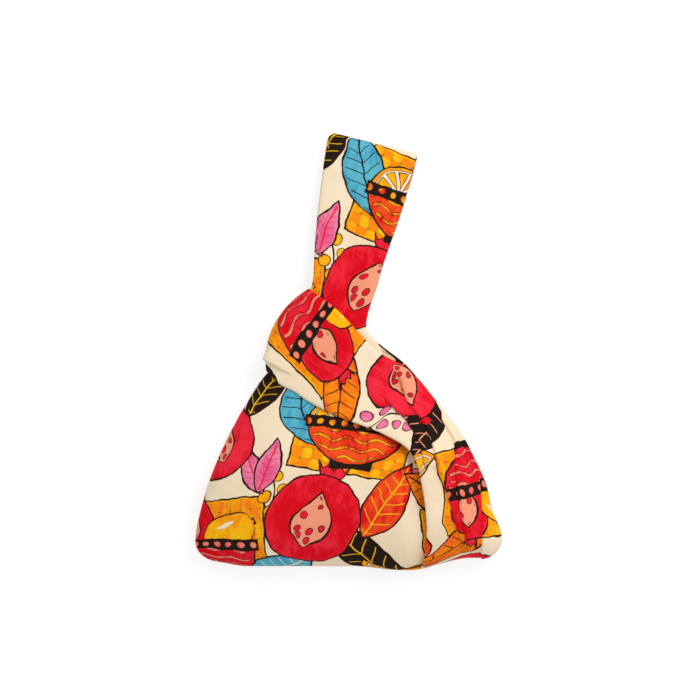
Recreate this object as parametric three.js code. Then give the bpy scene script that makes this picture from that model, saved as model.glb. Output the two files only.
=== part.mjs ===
// Japanese knot bag, lying on its back, with its long handle drawn through the loop of its short handle.
// A front cloth and a back cloth are each cut in one with half of both handles, and each has a lining.
// The two cloths meet at the side and bottom seams and at the ends of both handles.
// X runs across the bag, Y from the bottom seam to the end of the long handle, Z up from the table.
import * as THREE from "three";

// Cloth, in millimetres
const OUTER_CLOTH = 1.2; // printed canvas
const LINING_CLOTH = 0.8; // plain cotton
const LAYER_GAP = 0.3; // between the printed cloth and its lining
const SEAM_GAP = 0.6; // between two cloth edges that are sewn to each other

// Body
const BASE_WIDTH = 261; // across the bottom corners
const CORNER_RADIUS = 18;
const SHOULDER_HEIGHT = 170; // bottom seam to the shoulders, where both handles begin
const LEFT_TAPER = 61; // how far the left side leans in at the shoulder
const RIGHT_TAPER = 77; // how far the right side leans in at the shoulder
const LEFT_BOW = 1.7; // power of the left side's curve, 1 is straight
const RIGHT_BOW = 1.75; // power of the right side's curve
const RIGHT_DENT = 3.2; // how far the right side is drawn in above its corner
const RIGHT_DENT_HEIGHT = 50;
const RIGHT_DENT_REACH = 18;
const SEAM_HEIGHT = 13; // side and bottom seams above the table
const BELLY_RISE = 30; // the fullest part of the front above the seams
const SHOULDER_RISE = 9; // the front above the seams at the shoulders
const BELLY_HEIGHT = 80; // how far up from the bottom seam the front is full
const BELLY_ROUND = 70; // width of the rounded edge of the front beside the belly
const SHOULDER_ROUND = 20; // width of the rounded edge of the front at the shoulders
const BOTTOM_ROUND = 65; // width of the rounded edge of the front along the bottom
const BACK_ROUND = 23; // width of the rounded edge of the back
const CORNER_LIFT = 9; // how far the right corner is drawn up
const LIFT_REACH = 60; // how far up from the bottom seam that lift fades out
const BACK_STEP = 2.8; // height of the back cloth where it passes over the short handle
const BACK_STEP_AT = 8; // how far right of the middle that step starts
const BACK_STEP_RUN = 10;
const BACK_STEP_REACH = 25; // how far down from the back shoulder the step fades out

// The deep pleat where the right of the front laps over the middle
const PLEAT_X = 67; // its place right of the middle, at the height PLEAT_HEIGHT
const PLEAT_HEIGHT = 35;
const PLEAT_TOP = 101; // where it leaves the short handle's lower edge
const PLEAT_BOW = 13; // how far it has come in at its top
const PLEAT_TUCK = 18; // how far the middle of the front runs on beneath it
const PLEAT_DIP = 4.2; // how far the middle of the front lies beneath the lapping side
const PLEAT_DIP_RUN = 23; // width in which the middle of the front goes down to that depth
const PLEAT_HOLLOW = 5.4; // how much deeper it lies beside the widest part of the pleat
const PLEAT_HOLLOW_HEIGHT = 60;
const PLEAT_HOLLOW_REACH = 22;
const PLEAT_LIFT = 3.4; // how far the lapping side stands up at the top of the pleat

// Smaller pleats of the lapping side, from the knot to the bottom seam: each laps over what is on its left.
// A rise is the height of a pleat's crest, and a reach the width in which the cloth falls again at its right.
const LONG_PLEAT_ROUTE = [[31, 183], [52, 144], [72, 108], [84, 68], [98, 8]];
const LONG_PLEAT_RISE = 4.6;
const LONG_PLEAT_REACH = 14;
const LAP_PLEAT_ROUTE = [[24, 152], [57, 118.5], [66, 86]];
const LAP_PLEAT_RISE = 3.8;
const LAP_PLEAT_REACH = 11;
const MIDDLE_PLEAT_ROUTE = [[72, 140], [90.5, 98], [95.5, 52], [105, 12]];
const MIDDLE_PLEAT_RISE = 4.4;
const MIDDLE_PLEAT_REACH = 12;
const SIDE_PLEAT_ROUTE = [[82, 128], [107, 88.5], [113.5, 56], [113.5, 6]];
const SIDE_PLEAT_RISE = 4;
const SIDE_PLEAT_REACH = 9;
const SMALL_PLEATS = [
  { rise: LONG_PLEAT_RISE, reach: LONG_PLEAT_REACH, route: LONG_PLEAT_ROUTE },
  { rise: LAP_PLEAT_RISE, reach: LAP_PLEAT_REACH, route: LAP_PLEAT_ROUTE },
  { rise: MIDDLE_PLEAT_RISE, reach: MIDDLE_PLEAT_REACH, route: MIDDLE_PLEAT_ROUTE },
  { rise: SIDE_PLEAT_RISE, reach: SIDE_PLEAT_REACH, route: SIDE_PLEAT_ROUTE },
];
const SMALL_PLEAT_TURN = 5; // width in which the cloth climbs to the crest of a pleat
const SMALL_PLEAT_ENDS = [0.2, 0.1]; // shares of its route in which a pleat begins and ends
const SMALL_PLEAT_SEAM = 16; // height in which the pleats flatten towards the bottom seam
const SMALL_PLEAT_SIDE = 0.15; // share of the lapping side's width in which they flatten at its right

// Long handle
const HANDLE_LEAN = 12; // degrees to the right
const HANDLE_FOLD = [1.1, 269]; // middle of the line where the free part folds up
const HANDLE_FREE_LENGTH = 99; // from that line to the end
const HANDLE_ROOT_WIDTH = 61; // at that line
const HANDLE_END_WIDTH = 76.5;
const HANDLE_ROOT_TOP = 15; // height of the front layer at that line
const HANDLE_END_TOP = 12.7; // height of the front layer near the end
const HANDLE_END_BOTTOM = 0.2; // height of the back layer near the end
const HANDLE_SETTLE = 60; // length in which the free part comes down to the table
const HANDLE_KNOT_TOP = 20; // height of the front layer inside the knot
const HANDLE_EDGE_DROP = 1.5; // how far the front layer falls towards its edges
const HANDLE_BACK_INSET = 5.5; // how far the back layer's edges lie inside the front layer's at the knot
const FRONT_CUT = 150; // height on the body where the front of the long handle begins
const BACK_CUT = 125; // height on the body where both handles begin at the back
const SHOULDER_EDGE = [-62, 180]; // the left edge past the shoulder
const KNOT_LEFT_EDGE = [-48, 211]; // the left edge inside the knot
const EMERGING_ALONG = -34; // where the left edge comes out of the knot, from the fold line
const EMERGING_TUCK = 5; // how far the left edge is drawn in there
const KNOT_WAIST = 4; // how far the right edge is drawn in above the knot
const WAIST_ALONG = -18; // where that is, from the fold line

// Mouth of the bag, on the right of the long handle
const MOUTH_X = 30; // its front edge at FRONT_CUT
const MOUTH_EDGE = [29, 186]; // its front edge where the short handle passes over it
const MOUTH_CORNER = [15.5, 209]; // where its front edge turns into the long handle's right edge
const MOUTH_DIP = 7; // how far its front edge hangs down at FRONT_CUT
const MOUTH_DROP = 10; // and where the short handle passes over it
const BACK_MOUTH_X = 6; // its back edge at BACK_CUT
const BACK_MOUTH_EDGE = [2, 165];
const BACK_MOUTH_CORNER = [12, 208];

// Short handle, from the folded end of its loop
const LOOP_TOP = [-34, 240.5]; // upper corner of the folded end
const LOOP_FOOT = [-71.5, 179.5]; // lower corner of the folded end
const LOOP_BULGE = 9; // how far the folded end bows out
const LOOP_HEIGHT = 26; // of the knot above the table
const LOOP_FOLD_DEPTH = 8; // length in which the folded end turns from level to upright
const BAND_UPPER = [-10, 223]; // its upper edge over the long handle
const BAND_LOWER = [-42, 150.5]; // its lower edge below the knot
const BAND_LOWER_BACK = [-45, 146]; // the same at the back, which shows a little below the front
const BAND_RISE = 3.4; // the lower edge above the front of the bag beneath it
const LOOP_END_UPPER = [24.5, 188]; // where the loop ends and the body begins: upper edge
const LOOP_END_LOWER = [-10, 133];
const LOOP_END_UPPER_BACK = [27, 192];
const LOOP_END_LOWER_BACK = [-8, 136];
const LAP_LOWER = [30, 117.5]; // the lower edge on its way to the pleat
const LAP_LOWER_BACK = [9, 130];
const ROOT_BACK_X = 22; // the inner edge at BACK_CUT
const ARMHOLE_TOP = 24; // height of the upper edge where it leaves the knot
const ARMHOLE_MIDDLE = 17; // and at the shoulder
const ARMHOLE_FOOT = 133; // distance up the right side at which the armhole ends

const OUTER_COLOUR = 0xd9502e;
const LINING_COLOUR = 0xefe2c8;

const clamp01 = (t) => Math.min(Math.max(t, 0), 1);
const mix = (a, b, t) => a + (b - a) * t;
const smooth = (t) => clamp01(t) ** 2 * (3 - 2 * clamp01(t));
// A quarter of a circle: 0 at an edge, 1 where the cloth has levelled out.
const quarterRound = (t) => Math.sqrt(1 - (1 - clamp01(t)) ** 2);
// Crowds the rows or columns of a cloth towards its rounded edge.
const crowded = (t) => 1 - Math.cos((t * Math.PI) / 2);
const crowdedBothEnds = (t) => 0.5 - 0.5 * Math.cos(t * Math.PI);
const curve = (points) => new THREE.SplineCurve(points.map(([x, y]) => new THREE.Vector2(x, y)));
const heights = (values) => curve(values.map((z, i) => [i, z]));

// Outline of the body, at a height above the bottom seam
function cornerInset(height) {
  const below = Math.max(CORNER_RADIUS - height, 0);
  return CORNER_RADIUS - Math.sqrt(CORNER_RADIUS ** 2 - below ** 2);
}
function sideTaper(height, taper, bow) {
  const share = Math.max(height - CORNER_RADIUS, 0) / (SHOULDER_HEIGHT - CORNER_RADIUS);
  return taper * share ** bow;
}
const leftX = (height) => -BASE_WIDTH / 2 + cornerInset(height) + sideTaper(height, LEFT_TAPER, LEFT_BOW);
const nearHeight = (height, middle, reach) => Math.exp(-(((height - middle) / reach) ** 2));
function rightX(height) {
  const dent = RIGHT_DENT * nearHeight(height, RIGHT_DENT_HEIGHT, RIGHT_DENT_REACH);
  return BASE_WIDTH / 2 - cornerInset(height) - sideTaper(height, RIGHT_TAPER, RIGHT_BOW) - dent;
}
const pleatX = (height) => PLEAT_X - PLEAT_BOW * ((height - PLEAT_HEIGHT) / (PLEAT_TOP - PLEAT_HEIGHT)) ** 2;

// The drawn-up right corner moves every layer of the body alike.
function place(x, height, z) {
  const lift = CORNER_LIFT * smooth((x / BASE_WIDTH) * 4 - 0.8) * (1 - smooth(height / LIFT_REACH));
  return new THREE.Vector3(x, height + lift, z);
}

// Heights of the front and the back of the body above the table
function frontZ(x, height) {
  const towardsShoulder = smooth((height - BELLY_HEIGHT) / (SHOULDER_HEIGHT - BELLY_HEIGHT));
  const rise = mix(BELLY_RISE, SHOULDER_RISE, towardsShoulder);
  const round = mix(BELLY_ROUND, SHOULDER_ROUND, towardsShoulder);
  const sides = quarterRound((x - leftX(height)) / round) * quarterRound((rightX(height) - x) / round);
  return SEAM_HEIGHT + SEAM_GAP / 2 + rise * sides * quarterRound(height / BOTTOM_ROUND);
}
function backZ(x, height) {
  const fromSides = [x - leftX(height), rightX(height) - x];
  const sides = quarterRound(fromSides[0] / BACK_ROUND) * quarterRound(fromSides[1] / BACK_ROUND);
  const edge = (SEAM_HEIGHT - SEAM_GAP / 2) * (1 - sides * quarterRound(height / BACK_ROUND));
  const stepUp = smooth((height - BACK_CUT + BACK_STEP_REACH) / BACK_STEP_REACH);
  return edge + BACK_STEP * stepUp * (1 - smooth((x - BACK_STEP_AT) / BACK_STEP_RUN)) * sides;
}

// The unit normal of a surface, by differences inside its edges
const NORMAL_STEP = 2e-3;
function normalOf(surface, atU, atV) {
  const u = Math.min(Math.max(atU, NORMAL_STEP), 1 - NORMAL_STEP);
  const v = Math.min(Math.max(atV, NORMAL_STEP), 1 - NORMAL_STEP);
  const alongU = surface(u + NORMAL_STEP, v).sub(surface(u - NORMAL_STEP, v));
  const alongV = surface(u, v + NORMAL_STEP).sub(surface(u, v - NORMAL_STEP));
  return alongU.cross(alongV).normalize();
}

// Body cloths: u runs from the left seam, v from the bottom seam.
const ROW_CROWDING = 1.7;
const DIP_COLUMN = 0.75; // the columns past this share lie over the dip beneath the pleat
function frontPlan(u, v) {
  const height = (FRONT_CUT - SEAM_GAP / 2) * v ** ROW_CROWDING;
  const towardsMouth = smooth((height - PLEAT_TOP) / (FRONT_CUT - PLEAT_TOP));
  const edge = mix(pleatX(height) + PLEAT_TUCK, MOUTH_X, towardsMouth);
  const dipStart = edge - PLEAT_TUCK - PLEAT_DIP_RUN;
  const inDip = (u - DIP_COLUMN) / (1 - DIP_COLUMN);
  const x = inDip < 0 ? mix(leftX(height), dipStart, crowded(u / DIP_COLUMN)) : mix(dipStart, edge, inDip);
  const hollow = PLEAT_HOLLOW * nearHeight(height, PLEAT_HOLLOW_HEIGHT, PLEAT_HOLLOW_REACH);
  const depth = mix(PLEAT_DIP, MOUTH_DIP, towardsMouth) + hollow;
  return { x, height, dip: depth * smooth((x - dipStart) / PLEAT_DIP_RUN) };
}
function frontFull(u, v) {
  const { x, height } = frontPlan(u, v);
  return place(x, height, frontZ(x, height));
}
// The middle of the front goes down beneath the lapping side of the pleat and towards the mouth.
function frontBody(u, v) {
  return frontFull(u, v).addScaledVector(normalOf(frontFull, u, v), -frontPlan(u, v).dip);
}
function backBody(u, v) {
  const height = (BACK_CUT - SEAM_GAP / 2) * v ** ROW_CROWDING;
  const x = mix(leftX(height), rightX(height), crowdedBothEnds(u));
  return place(x, height, backZ(x, height));
}

// Long handle: its own axes, with the origin at the middle of the fold line
const lean = THREE.MathUtils.degToRad(HANDLE_LEAN);
const handlePoint = (along, across) => [
  HANDLE_FOLD[0] + along * Math.sin(lean) + across * Math.cos(lean),
  HANDLE_FOLD[1] + along * Math.cos(lean) - across * Math.sin(lean),
];

// The stretch from the body through the knot to the fold line: u across, v along
const LEAVES_BODY = 0.45; // share of it in which the cloth comes away from the shape of the body
const MOUTH_ENDS = [0.25, 0.6]; // share of it in which the mouth's edge comes up to the handle's own edge
const KNOT_ENDS = 0.35; // share of it after which the cloth comes down from the knot
const EDGE_SHARE = 0.25; // share of the width in which an edge of the handle is rounded
const MOUTH_SHARE = 0.6; // the same at the mouth
function handleRoot(isFront) {
  const start = (isFront ? FRONT_CUT : BACK_CUT) + SEAM_GAP / 2;
  const mouthX = isFront ? MOUTH_X : BACK_MOUTH_X;
  const half = HANDLE_ROOT_WIDTH / 2 - (isFront ? 0 : HANDLE_BACK_INSET);
  const leftEdge = curve([
    [leftX(start), start],
    SHOULDER_EDGE,
    KNOT_LEFT_EDGE,
    handlePoint(EMERGING_ALONG, EMERGING_TUCK - half),
    handlePoint(-SEAM_GAP / 2, -half),
  ]);
  const rightEdge = curve([
    [mouthX, start],
    isFront ? MOUTH_EDGE : BACK_MOUTH_EDGE,
    isFront ? MOUTH_CORNER : BACK_MOUTH_CORNER,
    handlePoint(WAIST_ALONG, half - KNOT_WAIST),
    handlePoint(-SEAM_GAP / 2, half),
  ]);
  const mouthWidth = PLEAT_DIP_RUN + PLEAT_TUCK;
  return (u, v) => {
    const left = leftEdge.getPoint(v);
    const right = rightEdge.getPoint(v);
    const x = mix(left.x, right.x, u);
    const height = mix(left.y, right.y, u);
    const bodyX = mix(leftX(start), mouthX, u);
    const free = smooth(v / LEAVES_BODY);
    if (!isFront) return new THREE.Vector3(x, height, mix(backZ(bodyX, start), BACK_STEP, free));
    const bodyZ = frontZ(bodyX, start) - MOUTH_DIP * smooth((bodyX - mouthX + mouthWidth) / PLEAT_DIP_RUN);
    const pastMouth = smooth((v - MOUTH_ENDS[0]) / (MOUTH_ENDS[1] - MOUTH_ENDS[0]));
    const drop = mix(MOUTH_DROP, HANDLE_EDGE_DROP, pastMouth);
    const leftDrop = HANDLE_EDGE_DROP * (1 - quarterRound(u / EDGE_SHARE));
    const rightDrop = drop * (1 - quarterRound((1 - u) / mix(MOUTH_SHARE, EDGE_SHARE, smooth(v))));
    const top = mix(HANDLE_KNOT_TOP, HANDLE_ROOT_TOP, smooth((v - KNOT_ENDS) / (1 - KNOT_ENDS)));
    return new THREE.Vector3(x, height, mix(bodyZ, top - leftDrop - rightDrop, free));
  };
}

// The free part from the fold line to the end, where the two layers meet in a rounded turn
function handleFree(isFront) {
  const rootWidth = HANDLE_ROOT_WIDTH - (isFront ? 0 : 2 * HANDLE_BACK_INSET);
  const rootZ = isFront ? HANDLE_ROOT_TOP : BACK_STEP;
  const endZ = isFront ? HANDLE_END_TOP : HANDLE_END_BOTTOM;
  const middle = (HANDLE_END_TOP + HANDLE_END_BOTTOM) / 2;
  const seamZ = middle + (isFront ? 1 : -1) * (SEAM_GAP / 2);
  const turn = (HANDLE_END_TOP - HANDLE_END_BOTTOM) / 2;
  return (u, v) => {
    const along = mix(SEAM_GAP / 2, HANDLE_FREE_LENGTH, Math.sin((v * Math.PI) / 2));
    const widening = Math.sin((along / HANDLE_FREE_LENGTH) * (Math.PI / 2));
    const half = mix(rootWidth, HANDLE_END_WIDTH, widening) / 2;
    const across = mix(-half, half, u);
    const [x, y] = handlePoint(along, across);
    const edges = quarterRound(u / EDGE_SHARE) * quarterRound((1 - u) / EDGE_SHARE);
    const drop = isFront ? HANDLE_EDGE_DROP * (1 - edges) : 0;
    const level = mix(rootZ, endZ, smooth(along / HANDLE_SETTLE)) - drop;
    return new THREE.Vector3(x, y, mix(seamZ, level, quarterRound((HANDLE_FREE_LENGTH - along) / turn)));
  };
}

// Short handle: stations from the folded end of its loop to the bottom seam, each with its two edges
const shoulder = [rightX(SHOULDER_HEIGHT), SHOULDER_HEIGHT];
const LAP_SHARES = [1, 0.7, 0.38, 0.12, 0]; // stations down the pleat and the right side
const loopStations = [
  { inner: LOOP_FOOT, outer: LOOP_TOP },
  { inner: BAND_LOWER, outer: BAND_UPPER },
  { inner: LOOP_END_LOWER, outer: LOOP_END_UPPER },
];
const lapStations = LAP_SHARES.map((share) => ({
  inner: [pleatX(share * PLEAT_TOP), share * PLEAT_TOP],
  outer: [rightX(share * ARMHOLE_FOOT), share * ARMHOLE_FOOT],
}));
const frontStations = [...loopStations, { inner: LAP_LOWER, outer: shoulder }, ...lapStations];
const backStations = [
  { inner: LOOP_FOOT, outer: LOOP_TOP },
  { inner: BAND_LOWER_BACK, outer: BAND_UPPER },
  { inner: LOOP_END_LOWER_BACK, outer: LOOP_END_UPPER_BACK },
  { inner: LAP_LOWER_BACK, outer: shoulder },
  { inner: [ROOT_BACK_X, BACK_CUT + SEAM_GAP / 2], outer: [rightX(BACK_CUT), BACK_CUT + SEAM_GAP / 2] },
];
const loopEnd = loopStations.length - 1;
const atShoulder = loopStations.length;
const atPleat = loopStations.length + 1;

// A point of the short handle in plan: t along the stations, r from the inner edge to the outer one.
// Past the shoulder the outer edge is the body's right side.
function stationPlan(stations) {
  const inner = curve(stations.map((s) => s.inner));
  const outer = curve(stations.map((s) => s.outer));
  const outward = new THREE.Vector2(LOOP_FOOT[1] - LOOP_TOP[1], LOOP_TOP[0] - LOOP_FOOT[0]).normalize();
  const spans = stations.length - 1;
  return (t, r) => {
    const edge = outer.getPoint(t / spans);
    if (t > atShoulder) edge.x = rightX(edge.y);
    const bow = LOOP_BULGE * 4 * r * (1 - r) * (1 - smooth(t / 1.5));
    return inner.getPoint(t / spans).lerp(edge, r).addScaledVector(outward, bow);
  };
}

const loopMiddle = LOOP_HEIGHT / 2;
// Brings a height round to the middle of the knot at the folded end of the loop.
function foldedZ(plan, t, r, level, seamZ) {
  const fromEnd = plan(t, r).distanceTo(plan(0, r));
  return mix(seamZ, level, quarterRound(fromEnd / LOOP_FOLD_DEPTH));
}

// Front of the short handle: level over the knot, then down the body as the lapping side of the pleat
function shortHandleFront(along) {
  const plan = stationPlan(frontStations);
  const spans = frontStations.length - 1;
  const overFront = frontStations.map(({ inner: [x, height] }) => frontZ(x, height) + BAND_RISE);
  const innerZ = heights(overFront.map((z, i) => (i === 0 ? LOOP_HEIGHT : Math.max(z, LOOP_HEIGHT))));
  const seamHeights = LAP_SHARES.map(() => SEAM_HEIGHT);
  const outerZ = heights([LOOP_HEIGHT, LOOP_HEIGHT, ARMHOLE_TOP, ARMHOLE_MIDDLE, ...seamHeights]);
  const seamZ = loopMiddle + SEAM_GAP / 2;
  return (u, v) => {
    const t = along(v);
    const r = 1 - crowded(1 - u);
    const { x, y: height } = plan(t, r);
    const band = mix(innerZ.getPoint(t / spans).y, outerZ.getPoint(t / spans).y, r);
    const lift = PLEAT_LIFT * smooth((2 * height) / PLEAT_TOP - 1) * (1 - smooth(r * 2));
    const level = mix(band, frontZ(x, height) + lift, smooth((t - loopEnd) / (atPleat - loopEnd)));
    return place(x, height, foldedZ(plan, t, r, level, seamZ));
  };
}

// How far the smaller pleats stand up at a place in plan
const PLEAT_SAMPLES = 60;
const pleatLines = SMALL_PLEATS.map(({ route }) => curve(route).getSpacedPoints(PLEAT_SAMPLES));
function pleatRise(place, { rise, reach }, line) {
  const distances = line.map((point) => point.distanceToSquared(place));
  const nearest = distances.indexOf(Math.min(...distances));
  const [before, after] = [Math.max(nearest - 1, 0), Math.min(nearest + 1, PLEAT_SAMPLES)];
  const heading = line[after].clone().sub(line[before]).normalize();
  const offset = place.clone().sub(line[nearest]);
  const aside = offset.y * heading.x - offset.x * heading.y;
  const share = nearest / PLEAT_SAMPLES;
  const ends = smooth(share / SMALL_PLEAT_ENDS[0]) * smooth((1 - share) / SMALL_PLEAT_ENDS[1]);
  const crest = smooth(aside / SMALL_PLEAT_TURN + 0.5) * nearHeight(Math.max(aside, 0), 0, reach);
  return rise * ends * crest;
}

// The lapping side with its smaller pleats, which flatten towards the seams
function pleated(along) {
  const plain = shortHandleFront(along);
  const plan = stationPlan(frontStations);
  return (u, v) => {
    const r = 1 - crowded(1 - u);
    const fromBottom = plan(along(v), r).y;
    const flattened = smooth((1 - r) / SMALL_PLEAT_SIDE) * smooth(fromBottom / SMALL_PLEAT_SEAM);
    const point = plain(u, v);
    const place = new THREE.Vector2(point.x, point.y);
    const rises = SMALL_PLEATS.map((pleat, i) => pleatRise(place, pleat, pleatLines[i]));
    const rise = flattened * rises.reduce((sum, each) => sum + each, 0);
    return point.addScaledVector(normalOf(plain, u, v), -rise);
  };
}

// Back of the short handle: flat on the table under the knot
function shortHandleBack(along) {
  const plan = stationPlan(backStations);
  const last = backStations.length - 1;
  const seamZ = loopMiddle - SEAM_GAP / 2;
  return (u, v) => {
    const t = along(v);
    const { x, y: height } = plan(t, crowdedBothEnds(u));
    const level = backZ(Math.max(x, BACK_STEP_AT + BACK_STEP_RUN), BACK_CUT) * smooth(t - last + 1);
    return place(x, height, foldedZ(plan, t, crowdedBothEnds(u), level, seamZ));
  };
}

// A closed solid of one cloth, whose outer face lies the given depth inside the surface, along its normal
function clothGeometry({ surface, columns, rows, facesUp }, depth, thickness) {
  const outward = facesUp ? 1 : -1;
  const positions = [];
  for (const inside of [depth, depth + thickness])
    for (let row = 0; row <= rows; row++)
      for (let column = 0; column <= columns; column++) {
        const [u, v] = [column / columns, row / rows];
        const normal = normalOf(surface, u, v);
        positions.push(...surface(u, v).addScaledVector(normal, -inside * outward).toArray());
      }
  const layer = (columns + 1) * (rows + 1);
  const at = (row, column) => row * (columns + 1) + column;
  const index = [];
  const quad = (a, b, c, d) => index.push(a, b, c, a, c, d);
  for (let row = 0; row < rows; row++)
    for (let column = 0; column < columns; column++) {
      const [a, b] = [at(row, column), at(row, column + 1)];
      const [c, d] = [at(row + 1, column + 1), at(row + 1, column)];
      quad(a, b, c, d);
      quad(layer + a, layer + d, layer + c, layer + b);
    }
  const rim = (a, b) => quad(a, layer + a, layer + b, b);
  for (let column = 0; column < columns; column++) {
    rim(at(0, column), at(0, column + 1));
    rim(at(rows, column + 1), at(rows, column));
  }
  for (let row = 0; row < rows; row++) {
    rim(at(row, columns), at(row + 1, columns));
    rim(at(row + 1, 0), at(row, 0));
  }
  if (!facesUp) index.reverse();
  return new THREE.BufferGeometry()
    .setAttribute("position", new THREE.Float32BufferAttribute(positions, 3))
    .setIndex(index);
}

// Rows along the short handle: the loop's crowd towards its folded end, the front root's towards the bottom.
const CUT_SHARE = 0.005; // half the gap between the loop and the cloth past it, in spans of the stations
const alongLoop = (v) => (loopEnd - CUT_SHARE) * v ** ROW_CROWDING;
const alongRoot = (last, crowding) => (v) => mix(last, loopEnd + CUT_SHARE, (1 - v) ** crowding);
const PLEATED_CROWDING = 1.35;
const frontRoot = pleated(alongRoot(frontStations.length - 1, PLEATED_CROWDING));
const backRoot = shortHandleBack(alongRoot(backStations.length - 1, 1));
const cloths = {
  front_body: { surface: frontBody, columns: 16, rows: 14, facesUp: true },
  back_body: { surface: backBody, columns: 18, rows: 12, facesUp: false },
  front_long_handle_root: { surface: handleRoot(true), columns: 8, rows: 10, facesUp: true },
  back_long_handle_root: { surface: handleRoot(false), columns: 8, rows: 10, facesUp: false },
  front_long_handle: { surface: handleFree(true), columns: 8, rows: 9, facesUp: true },
  back_long_handle: { surface: handleFree(false), columns: 8, rows: 9, facesUp: false },
  front_short_handle_root: { surface: frontRoot, columns: 20, rows: 22, facesUp: false },
  back_short_handle_root: { surface: backRoot, columns: 10, rows: 6, facesUp: true },
  front_short_handle_loop: { surface: shortHandleFront(alongLoop), columns: 8, rows: 9, facesUp: false },
  back_short_handle_loop: { surface: shortHandleBack(alongLoop), columns: 8, rows: 9, facesUp: true },
};

const printedCanvas = new THREE.MeshStandardMaterial({ color: OUTER_COLOUR, roughness: 0.85, metalness: 0 });
const plainCotton = new THREE.MeshStandardMaterial({ color: LINING_COLOUR, roughness: 0.9, metalness: 0 });

const bag = new THREE.Group();
for (const [name, cloth] of Object.entries(cloths)) {
  const outer = new THREE.Mesh(clothGeometry(cloth, 0, OUTER_CLOTH), printedCanvas.clone());
  outer.name = `${name}_outer`;
  const inside = clothGeometry(cloth, OUTER_CLOTH + LAYER_GAP, LINING_CLOTH);
  const lining = new THREE.Mesh(inside, plainCotton.clone());
  lining.name = `${name}_lining`;
  bag.add(outer, lining);
}

// The origin is under the middle of the whole bag, on the table.
const box = new THREE.Box3().setFromObject(bag, true);
const centre = box.getCenter(new THREE.Vector3());
bag.position.set(-centre.x, -centre.y, -box.min.z);

export default bag;
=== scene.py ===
"""A lined cloth knot bag, lying on its back with its long handle drawn through its short one."""

import math

import bpy
import numpy as np
from bpy.props import FloatProperty, FloatVectorProperty, IntProperty, PointerProperty
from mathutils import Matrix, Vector


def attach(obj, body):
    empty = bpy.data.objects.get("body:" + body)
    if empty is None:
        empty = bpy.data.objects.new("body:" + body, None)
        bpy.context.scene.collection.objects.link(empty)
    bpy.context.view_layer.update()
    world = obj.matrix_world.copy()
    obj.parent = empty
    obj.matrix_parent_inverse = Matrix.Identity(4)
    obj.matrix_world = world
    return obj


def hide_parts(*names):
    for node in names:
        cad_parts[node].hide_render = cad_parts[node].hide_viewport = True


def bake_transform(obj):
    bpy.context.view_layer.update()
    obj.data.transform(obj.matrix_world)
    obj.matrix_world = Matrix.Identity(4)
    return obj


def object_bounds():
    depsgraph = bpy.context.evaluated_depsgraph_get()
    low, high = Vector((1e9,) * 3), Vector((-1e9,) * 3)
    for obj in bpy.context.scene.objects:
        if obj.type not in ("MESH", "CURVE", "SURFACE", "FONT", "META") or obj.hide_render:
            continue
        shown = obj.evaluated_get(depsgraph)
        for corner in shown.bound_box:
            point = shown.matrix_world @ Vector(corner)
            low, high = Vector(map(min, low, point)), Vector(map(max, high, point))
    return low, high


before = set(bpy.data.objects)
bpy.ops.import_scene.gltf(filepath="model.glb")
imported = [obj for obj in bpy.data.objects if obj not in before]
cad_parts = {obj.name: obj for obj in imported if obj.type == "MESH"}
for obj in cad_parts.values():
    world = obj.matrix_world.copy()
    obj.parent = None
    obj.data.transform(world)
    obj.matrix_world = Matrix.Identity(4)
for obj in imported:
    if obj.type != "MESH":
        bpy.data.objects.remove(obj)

bl_info = {
    "name": "Knot Bag",
    "version": (1, 0, 0),
    "blender": (4, 5, 0),
    "location": "View3D > Sidebar > Knot Bag",
    "description": "Makes the cloths, the seams and the stage of a printed knot bag",
    "category": "Add Mesh",
}

# The frame's box, and the height of the bottom seam on the frame's Y axis
CAD_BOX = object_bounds()
BOTTOM_SEAM = CAD_BOX[0].y

# Places are in metres, right of the body's middle and up from the bottom seam.
# Outline of the body
CORNER_RADIUS = 0.018
LEFT_TAPER = 0.061
RIGHT_TAPER = 0.077
LEFT_BOW = 1.7
RIGHT_BOW = 1.75
RIGHT_DENT = 0.0032  # how far the right side is drawn in above its corner
RIGHT_DENT_AT = 0.050
RIGHT_DENT_REACH = 0.018
RIGHT_LIFT = 0.0105  # how far each bottom corner is drawn up
LEFT_LIFT = 0.0045
RIGHT_LIFT_ENDS = (0.052, 0.105)
LEFT_LIFT_ENDS = (-0.085, -0.120)
LIFT_REACH = 0.060
BOTTOM_RISE = 0.0034  # the bottom seam left of the pleat, above its lowest place
BOTTOM_RISE_ENDS = (0.006, 0.045)

# Swell of the front and the back
SHOULDER_RISE = 0.009
BELLY_HEIGHT = 0.080
BELLY_ROUND = 0.070
SHOULDER_ROUND = 0.020
BOTTOM_ROUND = 0.065
BACK_ROUND = 0.023
BACK_STEP = 0.0028
BACK_STEP_AT = 0.008
BACK_STEP_RUN = 0.010
BACK_STEP_REACH = 0.025
BACK_SPLIT = 0.014  # where the back cloth and the back of the short handle meet, under the bag
BACK_SPLIT_ENDS = (0.100, 0.122)
BACK_SPLIT_GAP = 0.0006

# The deep pleat where the right of the front laps over the middle
PLEAT_X = 0.067
PLEAT_HEIGHT = 0.035
PLEAT_TOP = 0.101
PLEAT_BOW = 0.013
PLEAT_TUCK = 0.018
PLEAT_DIP = 0.0042
PLEAT_DIP_RUN = 0.023
PLEAT_HOLLOW = 0.0054  # how much deeper the front lies beside the widest part of the pleat
PLEAT_HOLLOW_AT = 0.060
PLEAT_HOLLOW_REACH = 0.022
PLEAT_LIFT = 0.0034

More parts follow.
